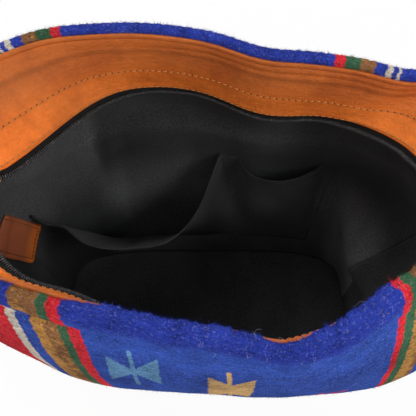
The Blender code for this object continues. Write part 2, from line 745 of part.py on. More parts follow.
def main():
    clear_scene()
    wool = material("wool", (0.024, 0.055, 0.38), 0.95)
    leather = material("leather", (0.42, 0.15, 0.035), 0.5)
    lining = material("lining", (0.012, 0.012, 0.013), 0.85)
    zip_cloth = material("zip_tape", (0.012, 0.012, 0.013), 0.9)
    zip_coil = material("zip_coil", (0.015, 0.015, 0.016), 0.35)
    brass = material("antique_brass", (0.30, 0.22, 0.11), 0.4, 1.0)
    wool_panel("front_panel", FRONT, wool)
    wool_panel("back_panel", BACK, wool)
    base_panel(leather)
    facing("front_facing", FRONT, leather)
    facing("back_facing", BACK, leather)
    tape("front_zip_tape", FRONT, zip_cloth)
    tape("back_zip_tape", BACK, zip_cloth)
    coil("front_zip_teeth", FRONT, zip_coil)
    coil("back_zip_teeth", BACK, zip_coil)
    lining_panel("front_lining", FRONT, lining)
    lining_panel("back_lining", BACK, lining)
    lining_base(lining)
    slip_pocket(lining)
    inner_patch(leather)
    zip_slider(brass)
    zip_pull(brass)
    shoulder_strap(leather)


main()
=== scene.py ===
"""Looks of a shoulder bag of striped wool that stands wide open, with leather, zip and lining.

Each piece is made by an operator of its own from the same sizes as the solid model, in metres.
"""

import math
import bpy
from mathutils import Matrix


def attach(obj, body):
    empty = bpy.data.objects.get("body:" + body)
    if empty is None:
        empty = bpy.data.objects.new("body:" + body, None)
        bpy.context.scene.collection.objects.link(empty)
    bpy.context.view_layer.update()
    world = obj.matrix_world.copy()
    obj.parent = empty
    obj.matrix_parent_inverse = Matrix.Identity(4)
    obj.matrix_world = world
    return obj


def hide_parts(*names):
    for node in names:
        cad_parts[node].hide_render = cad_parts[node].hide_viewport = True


bl_info = {
    "name": "Striped wool shoulder bag",
    "version": (1, 0, 0),
    "blender": (4, 5, 0),
    "location": "3D View > Sidebar > Wool bag",
    "description": "Makes the cloth, leather, zip, lining and strap of an open shoulder bag",
    "category": "Object",
}

from collections import namedtuple

import bmesh
import bpy
import numpy as np
from bpy.props import FloatProperty, FloatVectorProperty, IntProperty, PointerProperty
from mathutils import Vector

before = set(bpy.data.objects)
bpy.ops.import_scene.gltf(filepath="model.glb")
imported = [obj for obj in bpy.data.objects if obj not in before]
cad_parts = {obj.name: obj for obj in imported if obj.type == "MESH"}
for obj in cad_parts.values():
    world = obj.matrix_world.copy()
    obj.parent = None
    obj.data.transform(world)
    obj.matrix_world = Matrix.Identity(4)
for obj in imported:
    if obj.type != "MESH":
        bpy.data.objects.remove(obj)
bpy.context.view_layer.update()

MM = 0.001
BACK = 1
FRONT = -1
NAMES = {BACK: "back", FRONT: "front"}

# Sizes of the solid model that these looks follow
SEAM_GAP = 0.3 * MM
RIM_THICKNESS = 6.5 * MM
RIM_HEM = 14 * MM
RIM_HEM_BULGE = 1.2 * MM
LIP_DROP = 3 * MM
BASE_THICKNESS = 3.5 * MM
WALL_FOOT = BASE_THICKNESS + SEAM_GAP
RIM_HALF_WIDTH = 204 * MM
FRONT_DEPTH = 100 * MM
BACK_DEPTH = 113 * MM
RIM_HEIGHT = 268 * MM
BODY_LEVELS = (
    (WALL_FOOT, 0.745 * RIM_HALF_WIDTH, 0.66 * FRONT_DEPTH, 0.549 * BACK_DEPTH, 4.0),
    (0.22 * RIM_HEIGHT, 0.770 * RIM_HALF_WIDTH, 0.88 * FRONT_DEPTH, 0.743 * BACK_DEPTH, 3.4),
    (0.49 * RIM_HEIGHT, 0.804 * RIM_HALF_WIDTH, FRONT_DEPTH, 0.894 * BACK_DEPTH, 3.0),
    (0.77 * RIM_HEIGHT, 0.902 * RIM_HALF_WIDTH, FRONT_DEPTH, BACK_DEPTH, 2.7),
    (RIM_HEIGHT, RIM_HALF_WIDTH, 0.76 * FRONT_DEPTH, 0.938 * BACK_DEPTH, 2.6),
)
RIM_WAVES = {
    BACK: (
        (-112 * MM, 36 * MM, 8 * MM),
        (-55 * MM, 50 * MM, 9 * MM),
        (36 * MM, 26 * MM, -8 * MM),
        (86 * MM, 48 * MM, -15 * MM),
        (128 * MM, 24 * MM, -11 * MM),
    ),
    FRONT: (
        (-125 * MM, 50 * MM, 7 * MM),
        (-20 * MM, 24 * MM, -3 * MM),
        (0.0, 95 * MM, -7.5 * MM),
        (46 * MM, 46 * MM, -16 * MM),
        (118 * MM, 34 * MM, 14 * MM),
    ),
}
RIM_DIPS = {BACK: (), FRONT: ((52 * MM, 40 * MM, -7 * MM),)}
BELLY_HEIGHT = 165 * MM
BELLY_SPREAD = 75 * MM
BELLY_WAVES = {
    BACK: (),
    FRONT: (
        (-150 * MM, 70 * MM, 4 * MM),
        (-60 * MM, 50 * MM, -2 * MM),
        (132 * MM, 60 * MM, -15 * MM),
    ),
}
BAND_BEND = 0.55
BAND_SAG = 4 * MM
ZIP_HALF_WIDTH = RIM_HALF_WIDTH - 46 * MM
ZIP_CLOSED = 8 * MM
ZIP_DEPTH = {BACK: BACK_DEPTH - 15 * MM, FRONT: FRONT_DEPTH - 22 * MM}
ZIP_FULLNESS = 2.4
ZIP_HEIGHT = RIM_HEIGHT - 55 * MM
ZIP_END_RISE = 25 * MM
ZIP_WAVES = {
    BACK: (
        (-122 * MM, 30 * MM, -10 * MM),
        (-65 * MM, 42 * MM, 7 * MM),
        (40 * MM, 36 * MM, -20 * MM),
        (128 * MM, 24 * MM, 7 * MM),
    ),
    FRONT: (
        (-115 * MM, 34 * MM, -9 * MM),
        (-80 * MM, 34 * MM, 8 * MM),
        (40 * MM, 45 * MM, -6 * MM),
        (108 * MM, 40 * MM, -15 * MM),
    ),
}
COIL_SPREAD = 1.9 * MM
COIL_RADIUS = 1.2 * MM
TAPE_SHOWING = 4.6 * MM
TAPE_HIDDEN = 6.0 * MM
TAPE_THICKNESS = 0.9 * MM
LINING_THICKNESS = 1.2 * MM
LINING_LEVELS = (
    (WALL_FOOT + 2.2 * MM, ZIP_HALF_WIDTH - 20 * MM, 0.58 * FRONT_DEPTH, 0.442 * BACK_DEPTH, 4.0),
    (0.35 * ZIP_HEIGHT, ZIP_HALF_WIDTH - 18 * MM, 0.80 * FRONT_DEPTH, 0.619 * BACK_DEPTH, 3.0),
    (0.66 * ZIP_HEIGHT, ZIP_HALF_WIDTH - 17 * MM, 0.88 * FRONT_DEPTH, 0.752 * BACK_DEPTH, 2.8),
    (0.90 * ZIP_HEIGHT, ZIP_HALF_WIDTH - 3 * MM, 0.82 * FRONT_DEPTH, 0.796 * BACK_DEPTH, 1.9),
)
LINING_BULGE = (
    (ZIP_HALF_WIDTH - 18 * MM, 14 * MM, 0.47 * ZIP_HEIGHT),
    (48 * MM, 36 * MM, 32 * MM),
    (-20 * MM, -3 * MM, 0.0),
)
LINING_ROWS = (0.028, 0.132, 0.291, 0.470, 0.634, 0.751, 0.854)
LINING_HANG = ((24 * MM, 5.0 * MM), (8 * MM, 4.8 * MM))
POCKET_THICKNESS = 1.0 * MM
POCKET_TOP = ZIP_HEIGHT - 58 * MM
POCKET_BOTTOM = 32 * MM
POCKET_MOUTH = (
    (-0.885, 89.5 * MM),
    (-0.800, 96 * MM),
    (-0.715, 98 * MM),
    (-0.615, 110 * MM),
    (-0.520, 115 * MM),
    (-0.380, 116 * MM),
    (-0.190, 110 * MM),
    (-0.051, 83 * MM),
    (0.095, 23 * MM),
    (0.209, 50 * MM),
    (0.348, 58 * MM),
    (0.500, 52 * MM),
    (0.671, 34 * MM),
)
POCKET_FOOT = (-0.709, 0.633)
POCKET_GAPE_CURVE = 1.1
PATCH_THICKNESS = 1.6 * MM
PATCH_WIDTH = 33 * MM
PATCH_TOP = ZIP_HEIGHT - 33 * MM
PATCH_BOTTOM = PATCH_TOP - 46 * MM
PATCH_MIDDLE = 9 * MM
PATCH_LEAN = -0.22
PATCH_CLEAR = 0.98 * MM
PATCH_REACH = 9
STRAP_THICKNESS = 3.6 * MM
STRAP_WIDTH = 32 * MM
STRAP_SEWN = 52 * MM
STRAP_MIDDLE = 8 * MM
STRAP_RISE = 13 * MM
STRAP_FOLD = 11 * MM
STRAP_HANG = 150 * MM
STRAP_OFF_BACK = 16 * MM
STRAP_DROP = (
    (0.0, 2 * MM, 116 * MM),
    (2 * MM, 9 * MM, 86 * MM),
    (-3 * MM, 30 * MM, 53 * MM),
    (-18 * MM, 66 * MM, 24 * MM),
)
SEAM_HOLD = 30 * MM


def srgb(red, green, blue):
    """Linear colour of a screen colour given in steps of 255."""
    steps = (red, green, blue)
    return tuple(((step / 255 + 0.055) / 1.055) ** 2.4 if step > 10 else step / 3295 for step in steps)


def length_property(name, description, default):
    """A length that the user can set."""
    return FloatProperty(name=name, description=description, default=default, unit="LENGTH")


def colour_property(name, description, default):
    """A colour that the user can set."""
    return FloatVectorProperty(name=name, description=description, default=default, subtype="COLOR")


class BagSizes(bpy.types.PropertyGroup):
    """Sizes of the bag's fine detail"""

    stitch_pitch: length_property("Stitch pitch", "Length of one stitch and its hole", 4.4 * MM)
    thread: length_property("Thread", "Thickness of the sewing thread", 0.75 * MM)
    coil_pitch: length_property("Coil pitch", "Distance between the zip's teeth", 1.5 * MM)
    fibre_length: length_property("Fibre length", "Usual length of a loose wool fibre", 1.5 * MM)
    fibres: IntProperty(
        name="Fibres", description="Loose fibres on each wool panel", default=56000, min=0
    )
    yarn: length_property("Yarn", "Spacing of the wool's ribs", 1.7 * MM)


class BagColours(bpy.types.PropertyGroup):
    """Colours of the bag"""

    blue: colour_property("Blue", "Field of the wool", srgb(51, 78, 163))
    deep_blue: colour_property("Deep blue", "Field of the wool at the rim", srgb(46, 63, 160))
    red: colour_property("Red", "Red stripes and figures", srgb(212, 46, 56))
    green: colour_property("Green", "Green stripes", srgb(62, 100, 72))
    brown: colour_property("Brown", "Brown stripes", srgb(142, 98, 62))
    gold: colour_property("Gold", "Gold stripes", srgb(190, 138, 72))
    cream: colour_property("Cream", "Cream stripes", srgb(214, 204, 190))
    pale_blue: colour_property("Pale blue", "Pale blue figures", srgb(98, 142, 182))
    sand: colour_property("Sand", "Sand-coloured figures", srgb(206, 166, 112))
    leather: colour_property("Leather", "Tan leather", srgb(209, 112, 44))
    lining: colour_property("Lining", "Black cotton", srgb(44, 45, 46))
    brass: colour_property("Brass", "Aged brass", srgb(150, 128, 88))
    thread: colour_property("Thread", "Sewing thread", srgb(226, 150, 84))
    floor: colour_property("Floor", "Floor under the bag", (0.9, 0.9, 0.9))


# Shapes shared with the solid model


def unit(vectors):
    """The same directions, each with a length of one."""
    return vectors / np.linalg.norm(vectors, axis=-1, keepdims=True)


def clipped(value):
    """Value held between 0 and 1."""
    return np.clip(value, 0.0, 1.0)


def bell(value, middle, spread):
    """1 at the middle, falling smoothly to nothing within about two spreads."""
    return np.exp(-(((value - middle) / spread) ** 2))


def lengths_along(line):
    """Length from the start of a line of points to each of them."""
    return np.concatenate(([0.0], np.cumsum(np.linalg.norm(np.diff(line, axis=0), axis=1))))


def read_line(values, lengths, places):
    """Values that a line has at its points, read at other lengths along it."""
    return np.stack([np.interp(places, lengths, column) for column in values.T], axis=1)


def resample(points, count):
    """Spread points evenly by length along a polyline."""
    lengths = lengths_along(points)
    return read_line(points, lengths, np.linspace(0.0, lengths[-1], count))


def half_outline(side, half_width, depth, squareness, count):
    """Half of a rounded outline seen from above, from the left seam to the right one."""
    turn = np.linspace(0.0, math.pi, 8 * count)
    power = 2.0 / squareness
    across = -half_width * np.sign(np.cos(turn)) * np.abs(np.cos(turn)) ** power
    out = depth * np.abs(np.sin(turn)) ** power
    return resample(np.stack((across, side * (out + SEAM_GAP / 2)), axis=1), count)


def wave(across, waves):
    """Sum of soft bumps, each given as its middle, spread and height."""
    total = np.zeros_like(across)
    for middle, spread, amount in waves:
        total += amount * bell(across, middle, spread)
    return total


def smooth_levels(levels, heights):
    """Read a level table at any heights, on a smooth curve through its lines."""
    table = np.array(levels)
    known = table[:, 0]
    slopes = np.gradient(table[:, 1:], known, axis=0)
    result = []
    for height in heights:
        k = int(np.clip(np.searchsorted(known, height) - 1, 0, len(known) - 2))
        span = known[k + 1] - known[k]
        t = np.clip((height - known[k]) / span, 0.0, 1.0)
        result.append(
            (2 * t**3 - 3 * t**2 + 1) * table[k, 1:]
            + (t**3 - 2 * t**2 + t) * span * slopes[k]
            + (3 * t**2 - 2 * t**3) * table[k + 1, 1:]
            + (t**3 - t**2) * span * slopes[k + 1]
        )
    return result


def outlines(side, levels, heights, count):
    """Grid of points with one outline at each height."""
    rows = []
    for height, level in zip(heights, smooth_levels(levels, heights)):
        half_width, front, back, squareness = level
        plan = half_outline(side, half_width, back if side == BACK else front, squareness, count)
        rows.append(np.column_stack((plan, np.full(count, height))))
    return np.array(rows)


def normals(grid, side):
    """Unit normals of a grid, pointing away from the bag's middle."""
    cross = unit(np.cross(np.gradient(grid, axis=1), np.gradient(grid, axis=0)) * -side)
    for end in (0, -1):
        at_seam = np.abs(grid[:, end, 1]) < 2 * SEAM_GAP
        cross[at_seam, end, 1] = 0.0
    return unit(cross)


def moved(grid, side, distance):
    """Move a grid outwards, by one distance or one for each row or point."""
    distance = np.asarray(distance, dtype=float)
    if distance.ndim == 1:
        distance = distance[:, None]
    return grid + normals(grid, side) * np.broadcast_to(distance, grid.shape[:2])[:, :, None]


def seam_hold(grid):
    """0 at the end seams, where the halves can't move apart, and 1 away from them."""
    return clipped(np.abs(grid[..., 1]) / SEAM_HOLD)


def body_grid(side, heights, count):
    """Outer face of one half of the body, with the waves of its rim and belly."""
    grid = outlines(side, BODY_LEVELS, heights, count)
    high = np.array(heights)[:, None]
    rim_share = (high / RIM_HEIGHT) ** 3
    belly_share = bell(high, BELLY_HEIGHT, BELLY_SPREAD)
    across = grid[:, :, 0]
    shift = rim_share * wave(across, RIM_WAVES[side]) + belly_share * wave(across, BELLY_WAVES[side])
    grid[:, :, 1] += shift * seam_hold(grid)
    grid[:, :, 2] += rim_share * wave(across, RIM_DIPS[side])
    return grid


def zip_line(side, count):
    """Middle of one coil of the open zip, from the left end to the right one."""
    across = np.linspace(-ZIP_HALF_WIDTH, ZIP_HALF_WIDTH, 8 * count)
    share = clipped(np.abs(across) / (ZIP_HALF_WIDTH - ZIP_CLOSED))
    out = side * ZIP_DEPTH[side] * (1.0 - share**ZIP_FULLNESS)
    plan = resample(np.column_stack((across, out)), count)
    plan[:, 1] += seam_hold(plan) * wave(plan[:, 0], ZIP_WAVES[side]) + side * COIL_SPREAD
    rise = ZIP_END_RISE * np.abs(plan[:, 0] / ZIP_HALF_WIDTH) ** 3
    return np.column_stack((plan, ZIP_HEIGHT + rise))


def rim_inside(side, count):
    """Line inside the wool's rim that the facing's upper edge is sewn to."""
    grid = body_grid(side, [RIM_HEIGHT - RIM_HEM, RIM_HEIGHT - LIP_DROP], count)
    return moved(grid, side, -(RIM_THICKNESS + SEAM_GAP))[1]


def zip_edge(side, distance, count):
    """Line at a distance from the coil's middle, on the side of the rim."""
    line = zip_line(side, count)
    ahead = unit(np.gradient(line, axis=0))
    away = rim_inside(side, count) - line
    away -= ahead * np.sum(away * ahead, axis=1, keepdims=True)
    return line + unit(away) * distance


def band(side, shares, count):
    """Rows of the surface that carries the facing, from its lower edge (0) to the rim (1)."""
    start, end = zip_edge(side, TAPE_SHOWING, count), rim_inside(side, count)
    bend = start * (1 - BAND_BEND) + end * BAND_BEND
    bend[:, 2] -= BAND_SAG
    return np.array([start * (1 - t) ** 2 + bend * 2 * t * (1 - t) + end * t**2 for t in shares])


def tape_rows(side, count):
    """Rows of the zip tape: beside the coil, at the facing's lower edge and hidden under it."""
    width = rim_inside(side, count) - zip_edge(side, TAPE_SHOWING, count)
    hidden = TAPE_HIDDEN / (2 * BAND_BEND * np.linalg.norm(width, axis=1, keepdims=True))
    beside = zip_edge(side, COIL_RADIUS + 2 * SEAM_GAP, count)
    return np.concatenate((beside[None], band(side, (0.0, hidden), count)))


def flat_outward(line, side):
    """Level directions away from the mouth at each point of a line round it."""
    ahead = np.gradient(line[:, :2], axis=0)
    out = np.column_stack((-ahead[:, 1], ahead[:, 0], np.zeros(len(line)))) * side
    out[0, 1] = 0.0
    out[-1, 1] = 0.0
    return unit(out)


def lining_grid(side, count):
    """Mouth-side face of the lining: from the base up to behind the zip tape."""
    upper = moved(tape_rows(side, count), side, 2 * SEAM_GAP + TAPE_THICKNESS)
    line = zip_line(side, count)
    hanging = []
    for drop, out in LINING_HANG:
        row = line + flat_outward(line, side) * out
        row[:, 2] -= drop
        hanging.append(row)
    lower = outlines(side, LINING_LEVELS, [share * ZIP_HEIGHT for share in LINING_ROWS], count)
    share = (lower[:, :, 2] / ZIP_HEIGHT) ** 3
    lower[:, :, 1] += share * seam_hold(lower) * wave(lower[:, :, 0], ZIP_WAVES[side])
    middle, spread, push = LINING_BULGE
    nearness = np.exp(-np.sum(((lower - middle) / spread) ** 2, axis=2, keepdims=True))
    lower = lower + nearness * np.array(push)
    return np.concatenate((lower, hanging, upper))


def curve_through(points, steps):
    """Smooth curve through the given points or rows, with a number of steps between neighbours."""
    known = np.array(points, dtype=float)
    ends = np.concatenate((2 * known[:1] - known[1:2], known, 2 * known[-1:] - known[-2:-1]))
    curve = []
    for k in range(len(known) - 1):
        before, one, two, after = ends[k : k + 4]
        leave = (two - before) / 2
        arrive = (after - one) / 2
        for t in np.linspace(0.0, 1.0, steps, endpoint=False):
            bend = 3 * (two - one) - 2 * leave - arrive
            twist = leave + arrive - 2 * (two - one)
            curve.append(one + leave * t + bend * t**2 + twist * t**3)
    curve.append(known[-1])
    return np.array(curve)


# Meshes


def lay_cloth(mesh, places):
    """Write each point's place on the flat cloth, in metres, to a UV map."""
    layer = mesh.uv_layers.new(name="cloth")
    corners = np.empty(len(mesh.loops), dtype=np.int32)
    mesh.loops.foreach_get("vertex_index", corners)
    layer.data.foreach_set("uv", np.asarray(places, dtype=np.float32)[corners].ravel())


def add_mesh(name, points, faces, cloth, material):
    """Make a smooth mesh that rides on the bag, from its points, faces and places on the flat cloth."""
    mesh = bpy.data.meshes.new(name)
    corners = faces if isinstance(faces, list) else faces.tolist()
    mesh.from_pydata(points.tolist(), [], corners)
    lay_cloth(mesh, cloth)
    mesh.materials.append(material)
    mesh.shade_smooth()
    item = bpy.data.objects.new(name, mesh)
    bpy.context.scene.collection.objects.link(item)
    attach(item, "bag")
    return item


def grid_faces(rows, stations, around=False, start=0):
    """Quads between neighbouring rows; around closes each row into a ring."""
    row = np.arange(stations if around else stations - 1)
    after = (row + 1) % stations
    faces = []
    for i in range(rows - 1):
        low, high = start + i * stations, start + (i + 1) * stations
        faces.append(np.stack((low + row, low + after, high + after, high + row), axis=1))
    return np.concatenate(faces)


def add_sheet(name, grid, cloth, material, flip):
    """Sheet without thickness through a grid of points."""
    faces = grid_faces(*grid.shape[:2])
    if flip:
        faces = faces[:, ::-1]
    return add_mesh(name, grid.reshape(-1, 3), faces, cloth.reshape(-1, 2), material)


def add_shell(name, face, back, cloth, material, flip):
    """Sheet with thickness: two grids of points, closed all round their edges."""
    rows, stations = face.shape[:2]
    size = rows * stations
    front_faces = grid_faces(rows, stations)
    index = np.arange(size).reshape(rows, stations)
    strips = [front_faces, front_faces[:, ::-1] + size]
    for edge in (index[0], index[-1][::-1], index[::-1, 0], index[:, -1]):
        strips.append(np.stack((edge[1:], edge[:-1], edge[:-1] + size, edge[1:] + size), axis=1))
    faces = np.concatenate(strips)
    if flip:
        faces = faces[:, ::-1]
    points = np.concatenate((face.reshape(-1, 3), back.reshape(-1, 3)))
    places = np.concatenate((cloth.reshape(-1, 2), cloth.reshape(-1, 2)))
    return add_mesh(name, points, faces, places, material)


def cloth_places(grid):
    """Length along each row and up each column of a grid, in metres, from its middle and its foot."""
    along = np.linalg.norm(np.diff(grid, axis=1), axis=2)
    along = np.concatenate((np.zeros((len(grid), 1)), np.cumsum(along, axis=1)), axis=1)
    along -= along[:, -1:] / 2
    up = np.linalg.norm(np.diff(grid, axis=0), axis=2)
    up = np.concatenate((np.zeros((1, grid.shape[1])), np.cumsum(up, axis=0)))
    return np.stack((along, up), axis=2)


def add_tube(name, paths, radius, sides, material):
    """Closed tubes along several paths; radius is a number or one for each point."""
    points, faces, cloth = [], [], []
    start = 0
    for path in paths:
        ahead = unit(np.gradient(path, axis=0))
        hint = np.cross(ahead, (0.0, 0.0, 1.0))
        upright = np.linalg.norm(hint, axis=1) < 1e-3
        hint[upright] = (1.0, 0.0, 0.0)
        hint = unit(hint)
        up = np.cross(hint, ahead)
        size = np.broadcast_to(radius, (len(path),))[:, None]
        rings = []
        for k in range(sides):
            turn = k * math.tau / sides
            rings.append(path + size * (math.cos(turn) * hint + math.sin(turn) * up))
        points.append(np.stack(rings, axis=1).reshape(-1, 3))
        length = np.linspace(0.0, 1.0, len(path))[:, None]
        turned = np.arange(sides)[None] / sides
        cloth.append(np.stack(np.broadcast_arrays(length, turned), axis=2).reshape(-1, 2))
        faces += grid_faces(len(path), sides, True, start).tolist()
        last = start + (len(path) - 1) * sides
        faces.append(list(range(start, start + sides))[::-1])
        faces.append(list(range(last, last + sides)))
        start = last + sides
    return add_mesh(name, np.concatenate(points), faces, np.concatenate(cloth), material)


# A stitch: its share of the pitch each way, the points along it, and how far it lies aslant
STITCH_HALF = 0.40
STITCH_POINTS = 7
STITCH_LEAN = 0.12


def add_stitches(name, line, out, pitch, thread, material):
    """Short stitches of thread along a line of points, each dipping into its holes."""
    lengths = lengths_along(line)
    count = int(lengths[-1] / pitch)
    start = (lengths[-1] - count * pitch) / 2
    share = np.linspace(-STITCH_HALF, STITCH_HALF, STITCH_POINTS)
    rise = thread * (0.62 - 1.5 * (share / STITCH_HALF) ** 4)
    girth = thread / 2 * (1 - 0.45 * (share / STITCH_HALF) ** 6)
    paths = []
    for k in range(count):
        places = start + (k + 0.5 + share) * pitch
        path = read_line(line, lengths, places)
        normal = unit(read_line(out, lengths, places)[STITCH_POINTS // 2])
        beside = np.cross(normal, path[-1] - path[0])
        paths.append(path + normal * rise[:, None] + beside * (share * STITCH_LEAN)[:, None])
    return add_tube(name, paths, girth, 6, material)


# Materials


class Reading:
    """A value that varies over a surface; Python's operators add Math nodes to it."""

    def __init__(self, nodes, output):
        self.nodes = nodes
        self.output = output

    def math(self, operation, first, second=0.0):
        return self.nodes.node("ShaderNodeMath", {"operation": operation}, {0: first, 1: second})

    def __add__(self, other):
        return self.math("ADD", self, other)

    def __radd__(self, other):
        return self.math("ADD", other, self)

    def __sub__(self, other):
        return self.math("SUBTRACT", self, other)

    def __rsub__(self, other):
        return self.math("SUBTRACT", other, self)

    def __mul__(self, other):
        return self.math("MULTIPLY", self, other)

    def __rmul__(self, other):
        return self.math("MULTIPLY", other, self)

    def __truediv__(self, other):
        return self.math("DIVIDE", self, other)

    def __abs__(self):
        return self.math("ABSOLUTE", self)

    def floor(self):
        return self.math("FLOOR", self)

    def sine(self):
        return self.math("SINE", self)

    def highest(self, other):
        return self.math("MAXIMUM", self, other)


class Nodes:
    """Short ways to add nodes to a node tree."""

    def __init__(self, tree):
        self.tree = tree

    def put(self, socket, value):
        """Link a reading to a socket, or set a plain value on it."""
        if isinstance(value, Reading):
            self.tree.links.new(value.output, socket)
        elif socket.type == "RGBA":
            socket.default_value = (*value[:3], 1.0)
        else:
            socket.default_value = value

    def node(self, kind, settings=None, inputs=None, output=0):
        """Add a node, its settings first; gives one of its outputs, or those that a tuple names."""
        made = self.tree.nodes.new(kind)
        for name, value in (settings or {}).items():
            setattr(made, name, value)
        for key, value in (inputs or {}).items():
            self.put(made.inputs[key], value)
        if isinstance(output, tuple):
            return [Reading(self, made.outputs[each]) for each in output]
        return Reading(self, made.outputs[output])

    def place(self):
        """Place in the bag, in metres."""
        return self.node("ShaderNodeTexCoord", output="Object")

    def parts(self, point):
        """The three numbers of a point."""
        return self.node("ShaderNodeSeparateXYZ", {}, {0: point}, (0, 1, 2))

    def cloth(self):
        """Place on the flat cloth: the point, the length along it and the length up it."""
        point = self.node("ShaderNodeUVMap", {"uv_map": "cloth"})
        along, up, _ = self.parts(point)
        return point, along, up

    def stretched(self, point, scale):
        """The point scaled in each direction by a number of its own."""
        return self.node("ShaderNodeVectorMath", {"operation": "MULTIPLY"}, {0: point, 1: scale})

    def noise(self, point, scale, detail=2.0, roughness=0.5):
        """Cloudy noise round 0.5."""
        inputs = {"Vector": point, "Scale": scale, "Detail": detail, "Roughness": roughness}
        return self.node("ShaderNodeTexNoise", {}, inputs)

    def cloth_noise(self, point, along, up, detail, roughness):
        """Noise on the flat cloth, of one scale along it and another up it."""
        return self.noise(self.stretched(point, (along, up, 0.0)), 1.0, detail, roughness)

    def cells(self, point, scale, feature="F1"):
        """Distance from the nearest of many scattered spots."""
        return self.node("ShaderNodeTexVoronoi", {"feature": feature}, {"Vector": point, "Scale": scale})

    def step(self, value, low, high):
        """0 at low, 1 at high, which may be the smaller number, and a smooth rise between them."""
        inputs = {0: value, 1: low, 2: high, 3: 0.0, 4: 1.0}
        return self.node("ShaderNodeMapRange", {"interpolation_type": "SMOOTHSTEP"}, inputs)

    def near(self, value, middle, spread):
        """1 at the middle, falling to 0 at a spread from it."""
        return self.step(abs(value - middle), spread, 0.0)

    def wrapped(self, value, period):
        """Distance from the middle of the repeat that a value lies in."""
        inputs = {0: value, 1: period / 2, 2: -period / 2}
        return self.node("ShaderNodeMath", {"operation": "WRAP"}, inputs)

    def mix(self, share, one, two, blend="MIX"):
        """Colour that goes from the first to the second as the share goes from 0 to 1."""
        settings = {"data_type": "RGBA", "blend_type": blend}
        return self.node("ShaderNodeMix", settings, {0: share, 6: one, 7: two}, 2)

    def toned(self, colour, tone):
        """Colour made lighter or darker by a factor round 1."""
        grey = self.node("ShaderNodeCombineColor", {}, {0: tone, 1: tone, 2: tone})
        return self.mix(1.0, colour, grey, "MULTIPLY")

    def bump(self, height, depth):
        """Normal of a surface that rises with the height, which counts in depths."""
        return self.node("ShaderNodeBump", {}, {"Height": height, "Distance": depth, "Strength": 1.0})


class Shader(Nodes):
    """A new material's nodes, with one Principled BSDF whose plain sockets are given by name."""

    def __init__(self, name, sockets):
        self.material = bpy.data.materials.new(name)
        self.material.use_nodes = True
        super().__init__(self.material.node_tree)
        self.surface = self.tree.nodes["Principled BSDF"]
        for socket, value in sockets.items():
            self.surface.inputs[socket].default_value = value

    def finish(self, colour=None, roughness=None, normal=None):
        """Feed the surface and give its material."""
        for socket, value in (("Base Color", colour), ("Roughness", roughness), ("Normal", normal)):
            if value is not None:
                self.put(self.surface.inputs[socket], value)
        return self.material


# Places along the cloth of the blue field's left and right edge
FIELD = {FRONT: (-75.5 * MM, 101 * MM), BACK: (-98 * MM, 81.6 * MM)}
# Stripes outwards from those edges: colour and width in millimetres, the last one without end
BACK_STRIPES = (
    ("red", 6.6),
    ("green", 9.6),
    ("gold", 3.2),
    ("brown", 6.3),
    ("blue", 7.0),
    ("cream", 3.6),
    ("blue", 3.0),
    ("cream", 1.6),
    ("blue", 0.0),
)
LEFT_STRIPES = (
    ("red", 7.0),
    ("green", 5.5),
    ("brown", 8.5),
    ("gold", 7.0),
    ("blue", 8.5),
    ("cream", 6.0),
    ("red", 64.0),
    ("blue", 0.0),
)
RIGHT_STRIPES = (
    ("red", 4.2),
    ("green", 5.4),
    ("gold", 7.0),
    ("brown", 3.5),
    ("blue", 7.0),
    ("cream", 5.0),
    ("red", 64.0),
    ("blue", 0.0),
)
STRIPES = {FRONT: (LEFT_STRIPES, RIGHT_STRIPES), BACK: (BACK_STRIPES, BACK_STRIPES)}
# How far the stripes' edges wander from pick to pick and over several, and how soft they are
PICK_HEIGHT = 2.3 * MM
PICK_SHIFT = 1.0 * MM
EDGE_WANDER = 3.4 * MM
EDGE_DRIFT = 3.0 * MM
EDGE_BLUR = 0.35 * MM
# Limit of the noise between brown and gold in the two mottled stripes
MOTTLE_LIMITS = {"brown": 0.56, "gold": 0.42}
# Figures on the blue field: the first centre along and up the cloth, the step to the next column,
# the repeat up the cloth, half sizes of the wedges, half height of the waist, drop between columns
FIGURE_START = (-50.2 * MM, 222.0 * MM)
FIGURE_STEP = (55.2 * MM, -10.0 * MM)
FIGURE_ROWS = 100 * MM
FIGURE_HALF = (16.5 * MM, 12.5 * MM)
FIGURE_WAIST = 1.6 * MM
FIGURE_DROP = 15 * MM
FIGURE_WOBBLE = 6.4 * MM
FIGURE_BLUR = 0.6 * MM
FIGURE_TOP = 242 * MM
# The upright through a figure's waist: middle up from the waist, half height and half width
UPRIGHT_MIDDLE = 2.5 * MM
UPRIGHT_HALF = 22 * MM
UPRIGHT_SOFT_END = 1.5 * MM
UPRIGHT_WIDTH = 2.3 * MM
# The figures of the second column are broad: thicker, less wide, taller and lower down
BROAD_WAIST = 10 * MM
BROAD_NARROWING = 3 * MM
BROAD_UPRIGHT = 8 * MM
BROAD_DROP = 9.4 * MM
# Margin that the figures keep from the field's left and right edge
FIELD_MARGINS = (6 * MM, 7 * MM)
# Part of the wool that is rolled over the rim, and the part below it that painted light makes lighter
RIM_ROLL = (RIM_HEIGHT - 13 * MM, RIM_HEIGHT - 7 * MM)
PAINTED_LIGHT_WALL = (220 * MM, 246 * MM)
PALE_FIBRE = (0.62, 0.66, 0.78)


